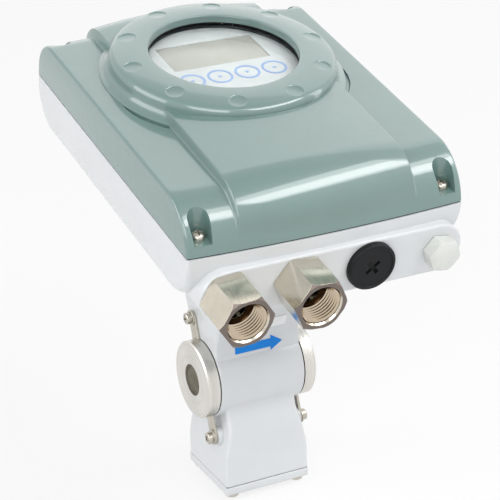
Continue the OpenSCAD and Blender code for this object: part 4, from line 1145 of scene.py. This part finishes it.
class FLOWMETER_OT_studio(Operator):
    """Sets up the pale floor, the soft lights and the camera"""
    bl_idname = "flow_meter.studio"
    bl_label = "Studio"

    def light(self, name, place, target, size, power, height=None):
        data = bpy.data.lights.new(name, "AREA")
        data.shape = "RECTANGLE"
        data.size, data.size_y = size, height or size
        data.energy = power
        lamp = shown(name, data)
        lamp.location = place
        lamp.rotation_euler = (Vector(target) - Vector(place)).to_track_quat("-Z", "Y").to_euler()

    def seen(self, recipe):
        """One for rays that come from the camera, a mirror or a glass, nought for the others."""
        rays = recipe.add("ShaderNodeLightPath").outputs
        either = recipe.maths("MAXIMUM", rays["Is Camera Ray"], rays["Is Glossy Ray"])
        return recipe.maths("MAXIMUM", either, rays["Is Transmission Ray"])

    def floor(self):
        """A pale floor that keeps its shadow and looks as white as the world."""
        grid = bmesh.new()
        bmesh.ops.create_grid(grid, x_segments=1, y_segments=1, size=4)
        bmesh.ops.translate(grid, vec=(0, 0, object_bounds()[0][2] - 0.0003), verts=grid.verts)
        mesh = bpy.data.meshes.new("floor")
        grid.to_mesh(mesh)
        grid.free()
        ground = shown("floor", mesh)
        r = Recipe(bpy.data.materials.new("studio_floor"))
        diffuse = r.put(r.add("ShaderNodeBsdfDiffuse"), Color=(0.82, 0.82, 0.82, 1))
        glow = r.put(r.add("ShaderNodeEmission"), Color=(1, 1, 1, 1))
        mix = r.put(r.add("ShaderNodeMixShader"), Fac=r.maths("MULTIPLY", self.seen(r), 0.8))
        r.link(diffuse.outputs[0], mix.inputs[1])
        r.link(glow.outputs[0], mix.inputs[2])
        r.put(r.tree.nodes["Material Output"], Surface=mix.outputs[0])
        mesh.materials.append(r.owner)
        ground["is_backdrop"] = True

    def world(self):
        """White where it is seen, a little dimmer overhead in mirrors, and soft as a light."""
        world = bpy.data.worlds.new("studio")
        bpy.context.scene.world = world
        r = Recipe(world)
        split = r.put(r.add("ShaderNodeSeparateXYZ"), Vector=r.direction)
        overhead = r.span(split.outputs["Z"], 1.0, 0.75, 0.78, 0.9)
        r.put(r.tree.nodes["Background"], Color=(1, 1, 1, 1),
              Strength=r.span(self.seen(r), 0.45, overhead, 0, 1))

    def execute(self, context):
        scene = context.scene
        scene.view_settings.view_transform = "Standard"
        self.floor()
        self.world()
        self.light("back_softbox", (0.876, 1.207, 1.084), (0, -0.06, 0.157), 2.6, 6, 1.4)
        self.light("roll_core", (0.72, -0.93, 1.28), (0, -0.08, 0.15), 1.3, 6, 0.38)
        self.light("roll_strip", (0.65, -0.84, 1.37), (0, -0.08, 0.15), 1.4, 7, 0.5)
        self.light("front_softbox", (-0.9, -1.3, 1.0), (0, 0, 0.08), 1.1, 11, 0.9)
        self.light("left_softbox", (-1.7, 0.2, 0.7), (0, 0, 0.1), 1.2, 12)
        self.light("right_strip", (1.5, -0.35, 0.55), (0, 0, 0.14), 0.3, 3, 1.2)
        camera = bpy.data.cameras.new("camera")
        camera.sensor_width = 36
        camera.lens = 139.916
        camera.clip_start = 0.01
        eye = shown("camera", camera)
        ahead = Vector((0.4031, 0.8286, -0.3885)).normalized()
        right = Vector((0.8945, -0.4464, -0.0241)).normalized()
        turn = Matrix((right, right.cross(ahead), -ahead)).transposed().to_4x4()
        eye.matrix_world = at(-0.4246128, -0.8820705, 0.4837864) @ turn
        scene.camera = eye
        return {"FINISHED"}


class FLOWMETER_PT_panel(Panel):
    """Lists the steps that build the flow meter"""
    bl_idname = "FLOWMETER_PT_panel"
    bl_label = "Flow Meter"
    bl_space_type = "VIEW_3D"
    bl_region_type = "UI"
    bl_category = "Flow Meter"

    def draw(self, context):
        for step in STEPS:
            self.layout.operator(step.bl_idname)
        for group in (context.scene.flow_meter_sizes, context.scene.flow_meter_colours):
            box = self.layout.box()
            for key in group.__annotations__:
                box.prop(group, key)


STEPS = (FLOWMETER_OT_cover, FLOWMETER_OT_base, FLOWMETER_OT_detector, FLOWMETER_OT_adapters,
         FLOWMETER_OT_plugs, FLOWMETER_OT_fasteners, FLOWMETER_OT_display, FLOWMETER_OT_boards,
         FLOWMETER_OT_studio)
CLASSES = (MeterSizes, MeterColours) + STEPS + (FLOWMETER_PT_panel,)


def register():
    for item in CLASSES:
        bpy.utils.register_class(item)
    bpy.types.Scene.flow_meter_sizes = PointerProperty(type=MeterSizes)
    bpy.types.Scene.flow_meter_colours = PointerProperty(type=MeterColours)


def unregister():
    del bpy.types.Scene.flow_meter_colours
    del bpy.types.Scene.flow_meter_sizes
    for item in reversed(CLASSES):
        bpy.utils.unregister_class(item)


def main():
    register()
    bpy.ops.flow_meter.cover()
    bpy.ops.flow_meter.base()
    bpy.ops.flow_meter.detector()
    bpy.ops.flow_meter.adapters()
    bpy.ops.flow_meter.plugs()
    bpy.ops.flow_meter.fasteners()
    bpy.ops.flow_meter.display()
    bpy.ops.flow_meter.boards()
    bpy.ops.flow_meter.studio()


if __name__ == "__main__":
    main()
